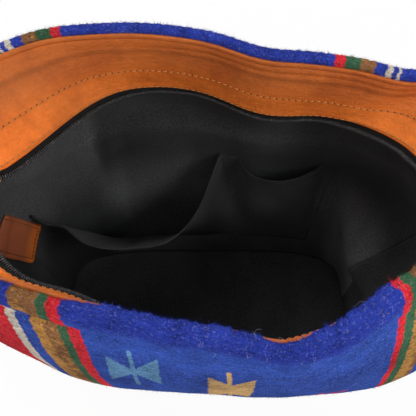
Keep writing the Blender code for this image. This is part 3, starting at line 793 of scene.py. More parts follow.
def stripe_colours(shader, side, cloth, colours, field, rim):
    """Colour of the striped cloth; that of its blue field and the rim's share are given."""
    point, along, up = cloth
    edge = (shader.noise(point, 800.0, 4.0, 0.75) - 0.5) * EDGE_WANDER
    drift = (shader.noise(shader.stretched(point, (0.2, 1.0, 0.0)), 60.0) - 0.5) * EDGE_DRIFT
    pick = {"W": (up / PICK_HEIGHT).floor()}
    pick_shift = shader.node("ShaderNodeTexWhiteNoise", {"noise_dimensions": "1D"}, pick) - 0.5
    jagged = along + edge + drift + pick_shift * PICK_SHIFT
    knots = shader.step(shader.cloth_noise(point, 420.0, 700.0, 3.0, 0.7), 0.53, 0.70) * 0.8
    blots = shader.cloth_noise(point, 160.0, 260.0, 3.0, 0.7) - rim * 0.14
    dark_brown = tuple(0.30 * part for part in colours.brown)
    colour = field
    for direction, start, stripes in zip((-1.0, 1.0), FIELD[side], STRIPES[side]):
        outward = jagged * direction
        reached = start * direction
        for name, width in stripes:
            share = shader.step(outward, reached - EDGE_BLUR, reached + EDGE_BLUR)
            stripe = field if name == "blue" else getattr(colours, name)
            if name in MOTTLE_LIMITS:
                limit = MOTTLE_LIMITS[name]
                mottle = shader.step(blots, limit - 0.06, limit + 0.06)
                stripe = shader.mix(knots, shader.mix(mottle, colours.brown, colours.gold), dark_brown)
            colour = shader.mix(share, colour, stripe)
            reached += width * MM
    return colour


def figure_mask(shader, cloth):
    """Where the figures are, and the number of the column at each place.

    A figure is two wedges that meet at a waist, with an upright through it.
    """
    point, along, up = cloth
    start_along, start_up = FIGURE_START
    step_along, step_up = FIGURE_STEP
    half_wide, half_high = FIGURE_HALF
    wobble = (shader.noise(point, 600.0, 4.0, 0.75) - 0.5) * FIGURE_WOBBLE
    column = ((along - start_along) / step_along + 0.5).floor()
    across = along - start_along - column * step_along
    broad = shader.near(column, 1.0, 0.5)
    lowered = (column * column - column) * FIGURE_DROP + broad * BROAD_DROP
    rise = shader.wrapped(up - start_up - column * step_up + lowered - across * 0.2, FIGURE_ROWS)
    leaning = across - rise * (broad * 0.04 + 0.1)
    far = abs(leaning + wobble)
    half = far * (broad * 0.2 + half_high / half_wide) + broad * BROAD_WAIST + FIGURE_WAIST
    wedges = shader.step(half - abs(rise + wobble), -FIGURE_BLUR, FIGURE_BLUR)
    side_blur = 0.5 * MM
    sides = shader.step(far + broad * BROAD_NARROWING, half_wide + side_blur, half_wide - side_blur)
    from_middle = abs(rise - UPRIGHT_MIDDLE) - broad * BROAD_UPRIGHT
    reach = shader.step(from_middle, UPRIGHT_HALF, UPRIGHT_HALF - UPRIGHT_SOFT_END)
    upright = shader.near(leaning + rise * 0.055 + wobble * 0.5, 0.0, UPRIGHT_WIDTH) * reach
    return (wedges * sides).highest(shader.step(upright, 0.15, 0.5)), column


def with_figures(shader, side, cloth, colours, ground):
    """Colour of the cloth with its figures, in pale blue, sand and red by turns."""
    _, along, up = cloth
    mask, column = figure_mask(shader, cloth)
    low, high = FIELD[side]
    left, right = FIELD_MARGINS
    soft = 0.5 * MM
    inside = shader.step(along, low + left, low + left + soft)
    inside = inside * shader.step(along, high - right, high - right - soft)
    below_rim = shader.step(up, FIGURE_TOP + 1 * MM, FIGURE_TOP)
    turn = shader.wrapped(column - 1.0, 3.0)
    figure = shader.mix(shader.step(turn, -0.6, -0.5), colours.pale_blue, colours.sand)
    figure = shader.mix(shader.step(turn, 0.5, 0.6), figure, colours.red)
    return shader.mix(mask * inside * below_rim, ground, figure)


def wool_material(side, sizes, colours, fibre=False):
    """Felted hand-woven wool with stripes and figures, or the loose fibres on it."""
    name = f"{NAMES[side]}_wool_fibre" if fibre else f"{NAMES[side]}_wool"
    shader = Shader(name, {"Roughness": 1.0, "Specular IOR Level": 0.04})
    cloth = point, along, up = shader.cloth()
    rim = shader.step(up, *RIM_ROLL)
    field = shader.mix(rim, colours.blue, colours.deep_blue)
    colour = stripe_colours(shader, side, cloth, colours, field, rim)
    colour = with_figures(shader, side, cloth, colours, colour)
    streaks = shader.cloth_noise(point, 150.0, 420.0, 4.0, 0.7)
    flecks = shader.cloth_noise(point, 620.0, 820.0, 4.0, 0.8)
    clouds = shader.noise(point, 40.0, 5.0, 0.7)
    # Painted light: the wall is lighter towards the rolled rim and darker lower down; the rolled rim is a
    # little darker
    painted_light_by_height = shader.step(up, *PAINTED_LIGHT_WALL) * 0.3 + 0.82 - rim * 0.12
    if fibre:
        chance = shader.node("ShaderNodeTexWhiteNoise", {"noise_dimensions": "2D"}, {"Vector": point})
        tone = chance * 0.9 + clouds * 0.9 + streaks * 0.4 - 0.05
        return shader.finish(colour=shader.toned(colour, tone * painted_light_by_height))
    colour = shader.toned(colour, (streaks * 1.5 + flecks * 2.4 + clouds * 1.9 - 1.9) * painted_light_by_height)
    specks = shader.step(shader.cloth_noise(point, 600.0, 900.0, 4.0, 0.7), 0.52, 0.74)
    colour = shader.mix(specks * (rim * 0.2 + 0.75), colour, shader.mix(0.3, colour, PALE_FIBRE))
    ribs = (along * (math.tau / sizes.yarn) + streaks * 14.0).sine()
    felt = shader.cloth_noise(point, 480.0, 620.0, 5.0, 0.75)
    height = ribs * 0.07 + felt * 1.2 + flecks * 0.8 + clouds * 1.5
    return shader.finish(colour=colour, normal=shader.bump(height, 0.8 * MM))


# Colours that tan leather turns to: in its redder patches, as a factor, and the painted shade where
# it is darkened towards the top, in a crease and in a stitch hole
RED_PATCH = (0.80, 0.62, 0.50)
PAINTED_SHADE_COLOUR = (0.17, 0.06, 0.042)
PAINTED_CREASE_SHADE = (0.12, 0.035, 0.01)
PAINTED_HOLE_SHADE = (0.05, 0.018, 0.006)
# Painted shade of the long crease up the leather: its height, how far it wanders and its half width
CREASE_HEIGHT = 43 * MM
CREASE_WANDER = 6 * MM
CREASE_WIDTH = 4 * MM
GROOVE_WIDTH = 1.1 * MM
HOLE_WIDTH = 0.9 * MM


def leather_material(name, colours, rows=(), pitch=0.0, painted_shade=None, pale=None):
    """Tan leather with fine grain, soft creases and pricked holes along its stitch rows.

    The painted shade is a share of darkening towards the top, with the heights up the piece where it
    starts and is full. Pale is a share of painted light, with the places along the piece, low on it,
    where it starts and is full; painted light also makes the piece lighter towards its right.
    """
    shader = Shader(name, {"Roughness": 0.46, "Specular IOR Level": 0.14})
    point, along, up = shader.cloth()
    place = shader.place()
    pebbles = shader.cells(place, 1150.0, "SMOOTH_F1")
    pores = shader.cells(place, 2600.0)
    creases = shader.noise(shader.stretched(place, (60.0, 90.0, 150.0)), 3.2, 5.0, 0.72)
    patches = shader.noise(place, 16.0, 4.0, 0.6)
    mottle = shader.noise(place, 130.0, 3.0, 0.6)
    strands = shader.noise(place, 420.0, 4.0, 0.8)
    wrinkles = shader.cloth_noise(point, 26.0, 120.0, 5.0, 0.7)
    tone = patches * 0.72 + mottle * 0.34 + creases * 0.26 + wrinkles * 0.5 + strands * 0.5 - 0.16
    # Painted light: lighter low on the left end, and lighter towards the right
    if pale:
        share, start, full = pale
        low_on_it = shader.step(up, 40 * MM, 8 * MM)
        tone = tone * (shader.step(along, start, full) * low_on_it * share + 1.0)
        tone = tone * (shader.step(along, 50 * MM, 120 * MM) * 0.25 + 1.0)
    colour = shader.toned(colours.leather, tone)
    reddish = shader.toned(shader.mix(1.0, colours.leather, RED_PATCH, "MULTIPLY"), tone)
    colour = shader.mix(shader.step(patches, 0.62, 0.38) * 0.55, colour, reddish)
    # Painted shade: darker towards the top
    if painted_shade:
        share, start, full = painted_shade
        colour = shader.mix(shader.step(up, start, full) * share, colour, PAINTED_SHADE_COLOUR)
    # Painted shade of the long crease: a dark line that wanders along the leather
    wander = shader.noise(shader.stretched(point, (1.0, 0.0, 0.0)), 22.0) * CREASE_WANDER
    crease = shader.near(up + wander, CREASE_HEIGHT, CREASE_WIDTH) * wrinkles
    colour = shader.mix(crease * 0.7, colour, PAINTED_CREASE_SHADE)
    height = pebbles * 0.7 + pores * 0.2 + creases * 1.1 + mottle * 0.3 + wrinkles * 2.0 + strands * 1.2
    # Painted shade in each stitch row's groove and pricked holes, which are also pressed in
    for row in rows:
        groove = shader.near(up, row, GROOVE_WIDTH)
        hole = shader.near(shader.wrapped(along, pitch), 0.0, HOLE_WIDTH)
        hole = hole * shader.near(up, row, HOLE_WIDTH)
        colour = shader.mix(groove * 0.15 + hole * 0.7, colour, PAINTED_HOLE_SHADE)
        height = height - groove * 0.5 - hole * 0.9
    roughness = 0.36 + mottle * 0.16 + creases * 0.12
    return shader.finish(colour=colour, roughness=roughness, normal=shader.bump(height, 0.42 * MM))


# Painted light and shade of the lining: tones low in the bag at its left, middle and right end,
# the two places across between them, high in the bag at its left end, and the painted shade
# beside the fold there
PaintedLight = namedtuple("PaintedLight", "left middle right first second upper_left shade")
LINING_PAINTED_LIGHT = {
    BACK: PaintedLight(1.3, 4.2, 9.5, -90 * MM, 122 * MM, 2.1, 0.42),
    FRONT: PaintedLight(1.3, 4.6, 3.2, -70 * MM, 100 * MM, 0.5, 0.0),
}
# Painted light and shade of the pocket, in the same order
POCKET_PAINTED_LIGHT = PaintedLight(1.1, 4.0, 4.0, 15 * MM, 200 * MM, 1.0, 0.0)
TWILL_RIB = 0.9 * MM
LINT_COLOUR = (0.35, 0.35, 0.34)


def painted_light_by_depth(shader, painted_light):
    """Painted light and shade on the lining, from end to end and from its foot to its mouth."""
    across, _, height = shader.parts(shader.place())
    at_first = shader.step(across, painted_light.first - 15 * MM, painted_light.first + 15 * MM)
    at_second = shader.step(across, painted_light.second - 10 * MM, painted_light.second + 10 * MM)
    low = at_first * (painted_light.middle - painted_light.left) + painted_light.left
    low = low + at_second * (painted_light.right - painted_light.middle)
    # Painted light at the lining's upper left end
    high = 1.0 + shader.step(across, -82 * MM, -92 * MM) * (painted_light.upper_left - 1.0)
    # Painted shade beside the fold at the upper left
    beside_fold = shader.step(across, -93 * MM, -86 * MM) * shader.step(across, -34 * MM, -66 * MM)
    high = high * (1.0 - beside_fold * shader.step(height, 205 * MM, 170 * MM) * painted_light.shade)
    low_share = shader.step(height, 160 * MM, 90 * MM)
    # Painted shade at the foot, where the wall meets the floor
    foot = shader.step(height, 8 * MM, 50 * MM) * 0.25 + 0.75
    return foot * (low * low_share + high * (1.0 - low_share))


def twill_material(name, colours, scale=1.0, lighter=1.0, painted_light=None):
    """Black cotton with a fine diagonal rib, lint and faint creases; scale is that of its rib."""
    sockets = {"Roughness": 0.9, "Sheen Weight": 0.05, "Sheen Roughness": 0.5, "Specular IOR Level": 0.12}
    shader = Shader(name, sockets)
    point, along, up = shader.cloth()
    rib = ((along + up) * (math.tau / (TWILL_RIB * scale))).sine()
    yarn = shader.cloth_noise(point, 1900.0, 700.0, 2.0, 0.6)
    creases = shader.cloth_noise(point, 28.0, 18.0, 5.0, 0.6)
    grain = shader.noise(point, 560.0, 4.0, 0.85)
    lint = shader.step(shader.cells(point, 260.0), 0.035, 0.02)
    tone = (yarn * 1.4 + grain * 3.6 + creases * 1.2 - 2.0) * lighter
    # Painted light and shade: lighter deep in the bag, darker at its foot
    if painted_light:
        tone = tone * painted_light_by_depth(shader, painted_light)
    colour = shader.mix(lint * 0.25, shader.toned(colours.lining, tone), LINT_COLOUR)
    height = rib * 0.10 + yarn * 0.35 + creases * 2.2
    return shader.finish(colour=colour, normal=shader.bump(height, 0.5 * MM))


def coil_material():
    """Black nylon, with grey patches painted on as highlights and scuffs in its bump and roughness."""
    shader = Shader("zip_coil_black", {"Roughness": 0.32, "Specular IOR Level": 0.6})
    scuffs_and_glints = shader.noise(shader.place(), 900.0, 3.0, 0.6)
    # Painted highlights: grey patches on the black nylon
    colour = shader.mix(shader.step(scuffs_and_glints, 0.45, 0.8) * 0.5, (0.02, 0.02, 0.021), (0.52, 0.52, 0.53))
    normal = shader.bump(scuffs_and_glints, 0.05 * MM)
    return shader.finish(colour=colour, roughness=0.25 + scuffs_and_glints * 0.25, normal=normal)


def thread_material(name, colour):
    """Twisted sewing thread, with painted shade between its plies."""
    shader = Shader(name, {"Roughness": 0.85, "Specular IOR Level": 0.1})
    _, along, up = shader.cloth()
    twist = (along * 26.0 + up * math.tau).sine()
    # Painted shade: darker where the twist dips between the plies
    toned = shader.toned(colour, 0.85 + twist * 0.2)
    return shader.finish(colour=toned, normal=shader.bump(twist, 0.08 * MM))


def brass_material(colours):
    """Aged brass, dark in its stains and bright where it is rubbed."""
    shader = Shader("antique_brass_aged", {"Roughness": 0.4, "Metallic": 1.0})
    place = shader.place()
    stains = shader.noise(place, 380.0, 4.0, 0.65)
    scratches = shader.noise(shader.stretched(place, (2500.0, 300.0, 600.0)), 1.0)
    dark = shader.mix(1.0, colours.brass, (0.32, 0.28, 0.24), "MULTIPLY")
    colour = shader.mix(shader.step(stains, 0.35, 0.65), dark, colours.brass)
    normal = shader.bump(stains + scratches * 0.4, 0.06 * MM)
    return shader.finish(colour=colour, roughness=0.28 + stains * 0.3, normal=normal)


# Pieces


def settings():
    """Sizes and colours that the user has set."""
    scene = bpy.context.scene
    return scene.bag_sizes, scene.bag_colours


# The wool's grid: points along it and up its wall, and the length of its cloth along the rim
WOOL_STATIONS = 240
WALL_STEPS = 96
CLOTH_LENGTH = {FRONT: 484.7 * MM, BACK: 522.9 * MM}
# The rolled rim: turns of its rows from outside to inside, then rows down inside it, each with the
# share of the overhang that it keeps and how far down it lies
ROLL_RADIUS = (RIM_THICKNESS + RIM_HEM_BULGE) / 2
ROLL_TURNS = np.linspace(0.0, math.pi, 17)
ROLL_INSIDE = ((0.9, 0.9 * MM), (0.4, 1.3 * MM), (0.0, 1.6 * MM), (0.0, 4 * MM), (0.0, 8 * MM))


def past(value, middle, spread):
    """0 before the middle and 1 past it, with a smooth rise."""
    return 1 / (1 + np.exp(-(value - middle) / spread))


def slant(up, across):
    """How far the front's stripes are drawn aside down the cloth: past a fold at the left."""
    left = clipped((-across - 10 * MM) / (50 * MM))
    fold = clipped((254.5 * MM - up) / (3 * MM))
    lower = clipped((250 * MM - up) / (85 * MM))
    even = clipped((262 * MM - up) / (97 * MM))
    return left * (8.0 * MM * fold + 5.5 * MM * lower) + (1 - left) * 13.5 * MM * even


def overhang(side, across):
    """How far the wool's rolled rim leans inwards over the leather."""
    if side == BACK:
        return 0.6 * MM * np.ones_like(across)
    hidden = past(across, -64 * MM, 4 * MM) * (1 - 0.75 * bell(across, 37 * MM, 10 * MM))
    right = past(across, 52 * MM, 4 * MM)
    uneven = 0.4 * MM * np.sin(across * 340) + 0.25 * MM * np.sin(across * 790 + 1)
    return (2.8 + 2.0 * right) * MM * hidden + uneven


def wall_relief(side, up, across, share):
    """How far the wool's wall stands out: the rim's hem, the fold below it, lumps and end seams."""
    edge = RIM_HEIGHT - RIM_HEM + 1.2 * MM * np.sin(across * 42 + 1)[None]
    ripple = 1 + 0.25 * np.sin(across * 210) + 0.2 * np.sin(across * 487 + 1.0)
    hem = RIM_HEM_BULGE * past(up, edge, 0.9 * MM) * ripple[None]
    crease = bell(up, edge - 1.5 * MM, 2.4 * MM)
    if side == FRONT:
        crease = crease * (0.5 + 2.4 * bell(across, -120 * MM, 55 * MM))[None]
    lumps = np.sin(across * 61 + 0.4)[None] * np.sin(up * 83)
    lumps = lumps + 0.6 * np.sin(across * 33 - 1.0)[None] * np.sin(up * 47 + 2)
    lumps = lumps + 0.35 * np.sin(across * 150 + up * 40) * np.sin(up * 170 + 1)
    lumps = lumps * 0.8 * MM * np.sin(math.pi * (up - WALL_FOOT) / RIM_HEIGHT)
    seam = bell(np.abs(share), 0.5, 0.004)[None] * 1.2 * MM
    return hem - crease * 1.1 * MM + lumps - seam


def rolled_rim(side, grid, rim_out):
    """Rows of points over the wool's rolled rim and down inside it."""
    across = grid[-1, :, 0]
    rim_up = unit(grid[-1] - grid[-6])
    middle = grid[-1] - rim_up * ROLL_RADIUS + rim_out * (RIM_HEM_BULGE - ROLL_RADIUS)
    reach = ROLL_RADIUS * (1 + 0.05 * np.sin(across * 900) + 0.05 * np.sin(across * 1570))
    over = overhang(side, across)
    tipped = clipped(over / (4 * MM))
    places = []
    for turn in ROLL_TURNS:
        sideways = reach * math.cos(turn)
        upwards = reach * math.sin(turn)
        if turn > math.pi / 2:
            sideways = (reach + over) * math.cos(turn)
            nose = reach - 1.4 * MM * (1 - math.sin(turn))
            upwards = upwards * (1 - tipped) + nose * tipped
        places.append((sideways, upwards))
    for kept, drop in ROLL_INSIDE:
        upwards = (reach - 1.5 * MM - drop * 0.7) * tipped - drop * (1 - tipped)
        places.append((-(reach * 0.96 + over * kept), upwards))
    return np.array([middle + rim_out * out[:, None] + rim_up * up[:, None] for out, up in places])


def wool_shape(side):
    """Points and cloth places of one wool half: up the wall, over the rolled hem and down inside."""
    wall = np.linspace(WALL_FOOT, RIM_HEIGHT - 0.4 * MM, WALL_STEPS)
    grid = body_grid(side, [*wall, RIM_HEIGHT], WOOL_STATIONS)
    out = normals(grid, side)
    share = np.linspace(-0.5, 0.5, WOOL_STATIONS)
    across = grid[-1, :, 0]
    relief = wall_relief(side, wall[:, None], across, share)
    below_roll = wall < RIM_HEIGHT - ROLL_RADIUS
    outer = (grid[:-1] + out[:-1] * relief[:, :, None])[below_roll]
    points = np.concatenate((outer, rolled_rim(side, grid, out[-2])))
    over_roll = RIM_HEIGHT - ROLL_RADIUS + ROLL_RADIUS * ROLL_TURNS
    inside = RIM_HEIGHT + ROLL_RADIUS * 2.2 + np.array([drop for _, drop in ROLL_INSIDE])
    heights = np.concatenate((wall[below_roll], over_roll, inside))[:, None]
    along = np.broadcast_to(share[None] * CLOTH_LENGTH[side], points.shape[:2])
    if side == FRONT:
        along = along - slant(heights, across[None])
    return points, np.stack((along, np.broadcast_to(heights, along.shape)), axis=2)


def wool_panel(side):
    """Striped cloth of one half with its rolled rim."""
    sizes, colours = settings()
    points, cloth = wool_shape(side)
    name = NAMES[side]
    material = wool_material(side, sizes, colours)
    item = add_sheet(f"{name}_wool", points, cloth, material, flip=side == BACK)
    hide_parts(f"{name}_panel")
    return item


def fibre_mesh(name, roots, directions, bends, lengths, widths, cloth, material):
    """Loose fibres, each a bent sliver that tapers to its tip."""
    middle = roots + directions * lengths * 0.5
    tip = middle + (directions + bends) * lengths * 0.5
    beside = unit(np.cross(directions, bends + 1e-4)) * widths
    corners = (roots - beside, roots + beside, middle - beside * 0.8, middle + beside * 0.8, tip)
    points = np.stack(corners, axis=1).reshape(-1, 3)
    first = np.arange(len(roots))[:, None] * len(corners)
    quads = (first + np.array((0, 1, 3, 2))).tolist()
    tips = (first + np.array((2, 3, 4))).tolist()
    return add_mesh(name, points, quads + tips, np.repeat(cloth, len(corners), axis=0), material)


def sample(grid, row, column):
    """Read a grid between its points."""
    i = np.clip(row.astype(int), 0, grid.shape[0] - 2)
    j = np.clip(column.astype(int), 0, grid.shape[1] - 2)
    a, b = (row - i)[:, None], (column - j)[:, None]
    low = grid[i, j] * (1 - b) + grid[i, j + 1] * b
    high = grid[i + 1, j] * (1 - b) + grid[i + 1, j + 1] * b
    return low * (1 - a) + high * a


# Rows of the wool's grid, counted from its end, where the rim's thick nap starts and where it stops
NAP_START = 28
NAP_STOP = 4
NAP_SHARE_NEAR_RIM = 0.55
FIBRE_WIDTH = 0.06 * MM


def wool_nap(side):
    """Loose fibres all over the wool, thickest along the rolled rim."""
    sizes, colours = settings()
    points, cloth = wool_shape(side)
    chance = np.random.default_rng(7 + side)
    count = sizes.fibres
    rows, stations = points.shape[:2]
    rim_row, foot_row = rows - NAP_START, rows * 0.2
    near_rim = chance.random(count) < NAP_SHARE_NEAR_RIM
    on_rim = rim_row + chance.random(count) * (NAP_START - NAP_STOP)
    on_wall = foot_row + chance.random(count) ** 0.7 * (rim_row - foot_row)
    row = np.where(near_rim, on_rim, on_wall)
    column = chance.random(count) * (stations - 1)
    out = sample(normals(points, side), row, column)
    along = unit(sample(np.gradient(points, axis=1), row, column))
    up = np.cross(out, along)
    roots = sample(points, row, column) - out * 0.25 * MM
    lean = chance.normal(0.0, 1.0, (count, 2))
    lift = np.where(near_rim, 0.75, 0.40)[:, None]
    directions = unit(out * lift + along * lean[:, :1] + up * lean[:, 1:])
    bends = chance.normal(0.0, 0.7, (count, 3))
    lengths = sizes.fibre_length * np.exp(chance.normal(0.0, 0.35, (count, 1)))
    lengths = lengths * np.where(near_rim, 1.0, 0.75)[:, None]
    widths = FIBRE_WIDTH * (0.5 + chance.random((count, 1)))
    places = sample(cloth, row, column)
    material = wool_material(side, sizes, colours, fibre=True)
    name = f"{NAMES[side]}_wool_nap"
    item = fibre_mesh(name, roots, directions, bends, lengths, widths, places, material)
    return item


# The stray hairs of one half, the steps in each of them, and how high they keep above the wool
HAIR_COUNT = 60
HAIR_STEPS = 12
HAIR_RADIUS = 0.04 * MM
HAIR_HEIGHT = 0.8 * MM
HAIR_COLOUR = srgb(196, 196, 226)
# Places across the front's rim where hairs gather
HAIR_SPOTS = (-4 * MM, 20 * MM, 24 * MM, 48 * MM, 89 * MM)


def curled_hair(root, normal, chance):
    """Points of one hair, which curls and keeps close above the wool."""
    path = [root]
    heading = chance.normal(0.0, 1.0, 3) + normal * 0.5
    turn = chance.normal(0.0, 1.0, 3)
    step = chance.uniform(0.3, 0.9) * MM
    for _ in range(HAIR_STEPS):
        heading = unit(heading)
        path.append(path[-1] + heading * step)
        height = np.dot(path[-1] - root, normal)
        lift = np.clip(HAIR_HEIGHT - height, -1 * MM, 1 * MM) * 400
        heading = heading + np.cross(turn, heading) * 0.28 + normal * lift
    return np.array(path)


def stray_hairs(side):
    """Pale curled hairs caught in the wool, most of them near the rim."""
    points, _ = wool_shape(side)
    chance = np.random.default_rng(31 + side)
    rows, stations = points.shape[:2]
    near_rim = chance.random(HAIR_COUNT) < 0.7
    on_rim = rows - 6 - chance.random(HAIR_COUNT) * 22
    on_wall = rows * (0.45 + 0.3 * chance.random(HAIR_COUNT))
    row = np.where(near_rim, on_rim, on_wall)
    column = chance.random(HAIR_COUNT) * (stations - 1)
    if side == FRONT:
        half = HAIR_COUNT // 2
        spots = chance.choice(HAIR_SPOTS, half) + chance.normal(0.0, 3 * MM, half)
        column[:half] = np.interp(spots, points[-20, :, 0], np.arange(stations))
        row[:half] = rows - 8 - chance.random(half) * 16
    roots = sample(points, row, column)
    out = sample(normals(points, side), row, column)
    paths = [curled_hair(root, normal, chance) for root, normal in zip(roots, out)]
    shader = Shader(f"{NAMES[side]}_hair", {"Roughness": 0.5, "Alpha": 0.75})
    material = shader.finish(colour=HAIR_COLOUR)
    item = add_tube(f"{NAMES[side]}_stray_hairs", paths, HAIR_RADIUS, 3, material)
    return item


def wool_half(side):
    """One half of striped wool with its loose fibres and hairs."""
    item = wool_panel(side)
    loose = [wool_nap(side), stray_hairs(side)]


FACING_STATIONS = 200
# Rows of the facing, as shares of its width from the zip to the rim, close together at both edges
FACING_SHARES = np.concatenate(
    (np.linspace(0.0, 0.05, 6), np.linspace(0.06, 0.90, 36), np.linspace(0.91, 1.0, 14))
)
# The two stitch rows, as shares of the width
STITCH_SHARES = (0.36, 0.032)
# Painted shade towards the rim and painted light low at the left end of each facing
FACING_PAINTED_LIGHT = {"painted_shade": (0.25, 14 * MM, 34 * MM), "pale": (0.75, -95 * MM, -165 * MM)}
FACING_THICKNESS = 1.6 * MM


def at_height(values, cloth, height):
    """The values of a grid where each of its columns reaches a height up the cloth."""
    columns = range(values.shape[1])
    return np.array([read_line(values[:, j], cloth[:, j, 1], [height])[0] for j in columns])


def facing_relief(t, across):
    """How far the leather stands out from its band: thickness, lip, folds and stitch rows."""
    lip = clipped((t - 0.935) / 0.02) * np.sqrt(clipped((1.012 - t) / 0.03))
    thick = FACING_THICKNESS + 0.9 * MM * lip - 0.45 * MM * bell(t, 0.925, 0.012)
    edge = np.sqrt(clipped(t / 0.012 + 0.05))
    wander = 0.81 + 0.012 * np.sin(across * 37) + 0.008 * np.sin(across * 91 + 1)
    strength = 0.6 + 0.4 * np.sin(across * 23 + 0.7) + 0.15 * np.sin(across * 71)
    folds = (0.35 * MM * bell(t, wander + 0.05, 0.035) - 0.7 * MM * bell(t, wander, 0.02)) * strength
    folds = folds + 0.5 * MM * np.sin(across * 55 + 2.0) * np.sin(t * 5.1) * clipped(1.0 - t)
    for share in STITCH_SHARES:
        folds = folds - 0.30 * MM * bell(t, share, 0.02)
    return thick * edge + folds + 0.35 * MM * bell(t, 0.045, 0.03)


def leather_facing(side):
    """Leather band round the mouth: turned lower edge, two sewn rows, creases and folded lip."""
    sizes, colours = settings()
    name = NAMES[side]
    grid = band(side, FACING_SHARES, FACING_STATIONS)
    face = moved(grid, side, -facing_relief(FACING_SHARES[:, None], grid[:1, :, 0]))
    cloth = cloth_places(face)
    cloth[:, :, 1] *= (np.mean(cloth[-1, :, 1]) / cloth[-1, :, 1])[None]
    middle = cloth[:, FACING_STATIONS // 2, 1]
    heights = [float(np.interp(share, FACING_SHARES, middle)) for share in STITCH_SHARES]
    leather = f"{name}_facing_leather"
    material = leather_material(leather, colours, heights, sizes.stitch_pitch, **FACING_PAINTED_LIGHT)
    item = add_shell(f"{name}_leather_facing", face, grid, cloth, material, flip=side == BACK)
    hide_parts(f"{name}_facing")
    thread = thread_material(f"{name}_facing_thread", colours.thread)
    outward = -normals(face, side)
    sewn_on = []
    for row, height, girth in zip(("upper", "lower"), heights, (1.0, 0.9)):
        line = at_height(face, cloth, height)[6:-6]
        out = at_height(outward, cloth, height)[6:-6]
        seam = f"{name}_facing_{row}_stitches"
        sewn_on.append(add_stitches(seam, line, out, sizes.stitch_pitch, sizes.thread * girth, thread))
    sewn_on += [bpy.data.objects[f"{name}_{piece}"] for piece in ("tape", "coil", "coil_cord")]


TAPE_STATIONS = 220
# The coil: steps in a turn, half width and half height of a turn, radius of its wire, and the
# radius of the cord that lies in it
COIL_STEPS = 10
COIL_HALF_WIDTH = 1.65 * MM
COIL_HALF_HEIGHT = 1.0 * MM
WIRE_RADIUS = 0.31 * MM
CORD_RADIUS = 0.9 * MM


def turned_up(side, across):
    """How the front's teeth stand up from the leather at the left, where they can be seen."""
    share = bell(across, -78 * MM, 40 * MM) * (side == FRONT)
    return np.column_stack((np.zeros_like(share), 2.6 * MM * share, 2.4 * MM * share))


def zip_tape(side):
    """Woven tape of one half of the zip."""
    _, colours = settings()
    name = NAMES[side]
    rows = tape_rows(side, TAPE_STATIONS)
    turned = turned_up(side, rows[0, :, 0])
    rows[0] += turned
    rows[1] += turned * 0.7
    face = moved(curve_through(rows, 6), side, SEAM_GAP)
    back = moved(face, side, TAPE_THICKNESS)
    material = twill_material(f"{name}_tape_cloth", colours, scale=0.8, lighter=0.3)
    tape = add_shell(f"{name}_tape", face, back, cloth_places(face), material, flip=side == BACK)
    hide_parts(f"{name}_zip_tape")


def zip_coil(side):
    """Coil of teeth that runs all the way round one half of the mouth, with the cord inside it."""
    sizes, colours = settings()
    name = NAMES[side]
    line = zip_line(side, 500)
    line = (line + turned_up(side, line[:, 0]))[8:-8]
    lengths = lengths_along(line)
    turns = int(lengths[-1] / sizes.coil_pitch)
    middle = read_line(line, lengths, np.linspace(0.0, lengths[-1], turns * COIL_STEPS))
    ahead = unit(np.gradient(middle, axis=0))
    level = unit(np.cross(ahead, (0.0, 0.0, 1.0)))
    upward = np.cross(level, ahead)
    angle = np.arange(len(middle))[:, None] * (math.tau / COIL_STEPS)
    path = middle + COIL_HALF_WIDTH * np.cos(angle) * level + COIL_HALF_HEIGHT * np.sin(angle) * upward
    coil = add_tube(f"{name}_coil", [path], WIRE_RADIUS, 5, coil_material())
    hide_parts(f"{name}_zip_teeth")
    material = twill_material(f"{name}_cord_cloth", colours, scale=0.6, lighter=0.12)
    cord = add_tube(f"{name}_coil_cord", [middle[::4]], CORD_RADIUS, 6, material)


# The solid model's points along the lining, and the height from which its halves part at the ends
LINING_STATIONS = 41
END_SEAM_TOP = 240 * MM
END_SEAM_FADE = 6 * MM


def lining_folds(side, points):
    """How far the lining stands out towards the mouth in folds and creases."""
    x, z = points[:, :, 0], points[:, :, 2]
    free = clipped((z - 12 * MM) / (25 * MM)) * clipped((198 * MM - z) / (30 * MM))
    folds = 1.4 * MM * np.sin(x * 52 + z * 9) * np.sin(z * 31 + 1)
    folds = folds + 0.8 * MM * np.sin(x * 97 - z * 22 + 2)
    if side == BACK:
        leaning = x - 0.2 * (z - 170 * MM)
        folds += 2.8 * MM * bell(leaning, -80 * MM, 8 * MM) * bell(z, 165 * MM, 60 * MM)
        folds += 2.0 * MM * bell(x, -30 * MM, 16 * MM) * bell(z, 130 * MM, 40 * MM)
    else:
        folds += 3.0 * MM * bell(x - 0.1 * z, 48 * MM, 5 * MM) * bell(z, 120 * MM, 60 * MM)
    return folds * free


def lining_half(side):
    """One half of the cotton lining, drawn to the other one at the end seams."""
    _, colours = settings()
    name = NAMES[side]
    grid = curve_through(lining_grid(side, LINING_STATIONS), 7)
    face = curve_through(grid.swapaxes(0, 1), 4).swapaxes(0, 1)
    cloth = cloth_places(face)
    face = moved(face, side, -np.maximum(lining_folds(side, face), -0.4 * MM))
    for end in (0, -1):
        face[:, end, 1] *= 1.0 - 0.8 * clipped((END_SEAM_TOP - face[:, end, 2]) / END_SEAM_FADE)
    back = moved(face, side, LINING_THICKNESS * 0.5)
    material = twill_material(f"{name}_lining_twill", colours, painted_light=LINING_PAINTED_LIGHT[side])
    item = add_shell(f"{name}_cotton_lining", face, back, cloth, material, flip=side == BACK)
    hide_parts(f"{name}_lining")


def lining_depth(grid, across, height):
    """How deep the lining's face lies at places across it, at one height."""
    below_zip = grid[: len(LINING_ROWS) + 1]
    levels = [row[:, 2].mean() for row in below_zip]
    depths = np.array([np.interp(across, row[:, 0], row[:, 1]) for row in below_zip])
    return np.array([np.interp(height, levels, column) for column in depths.T])


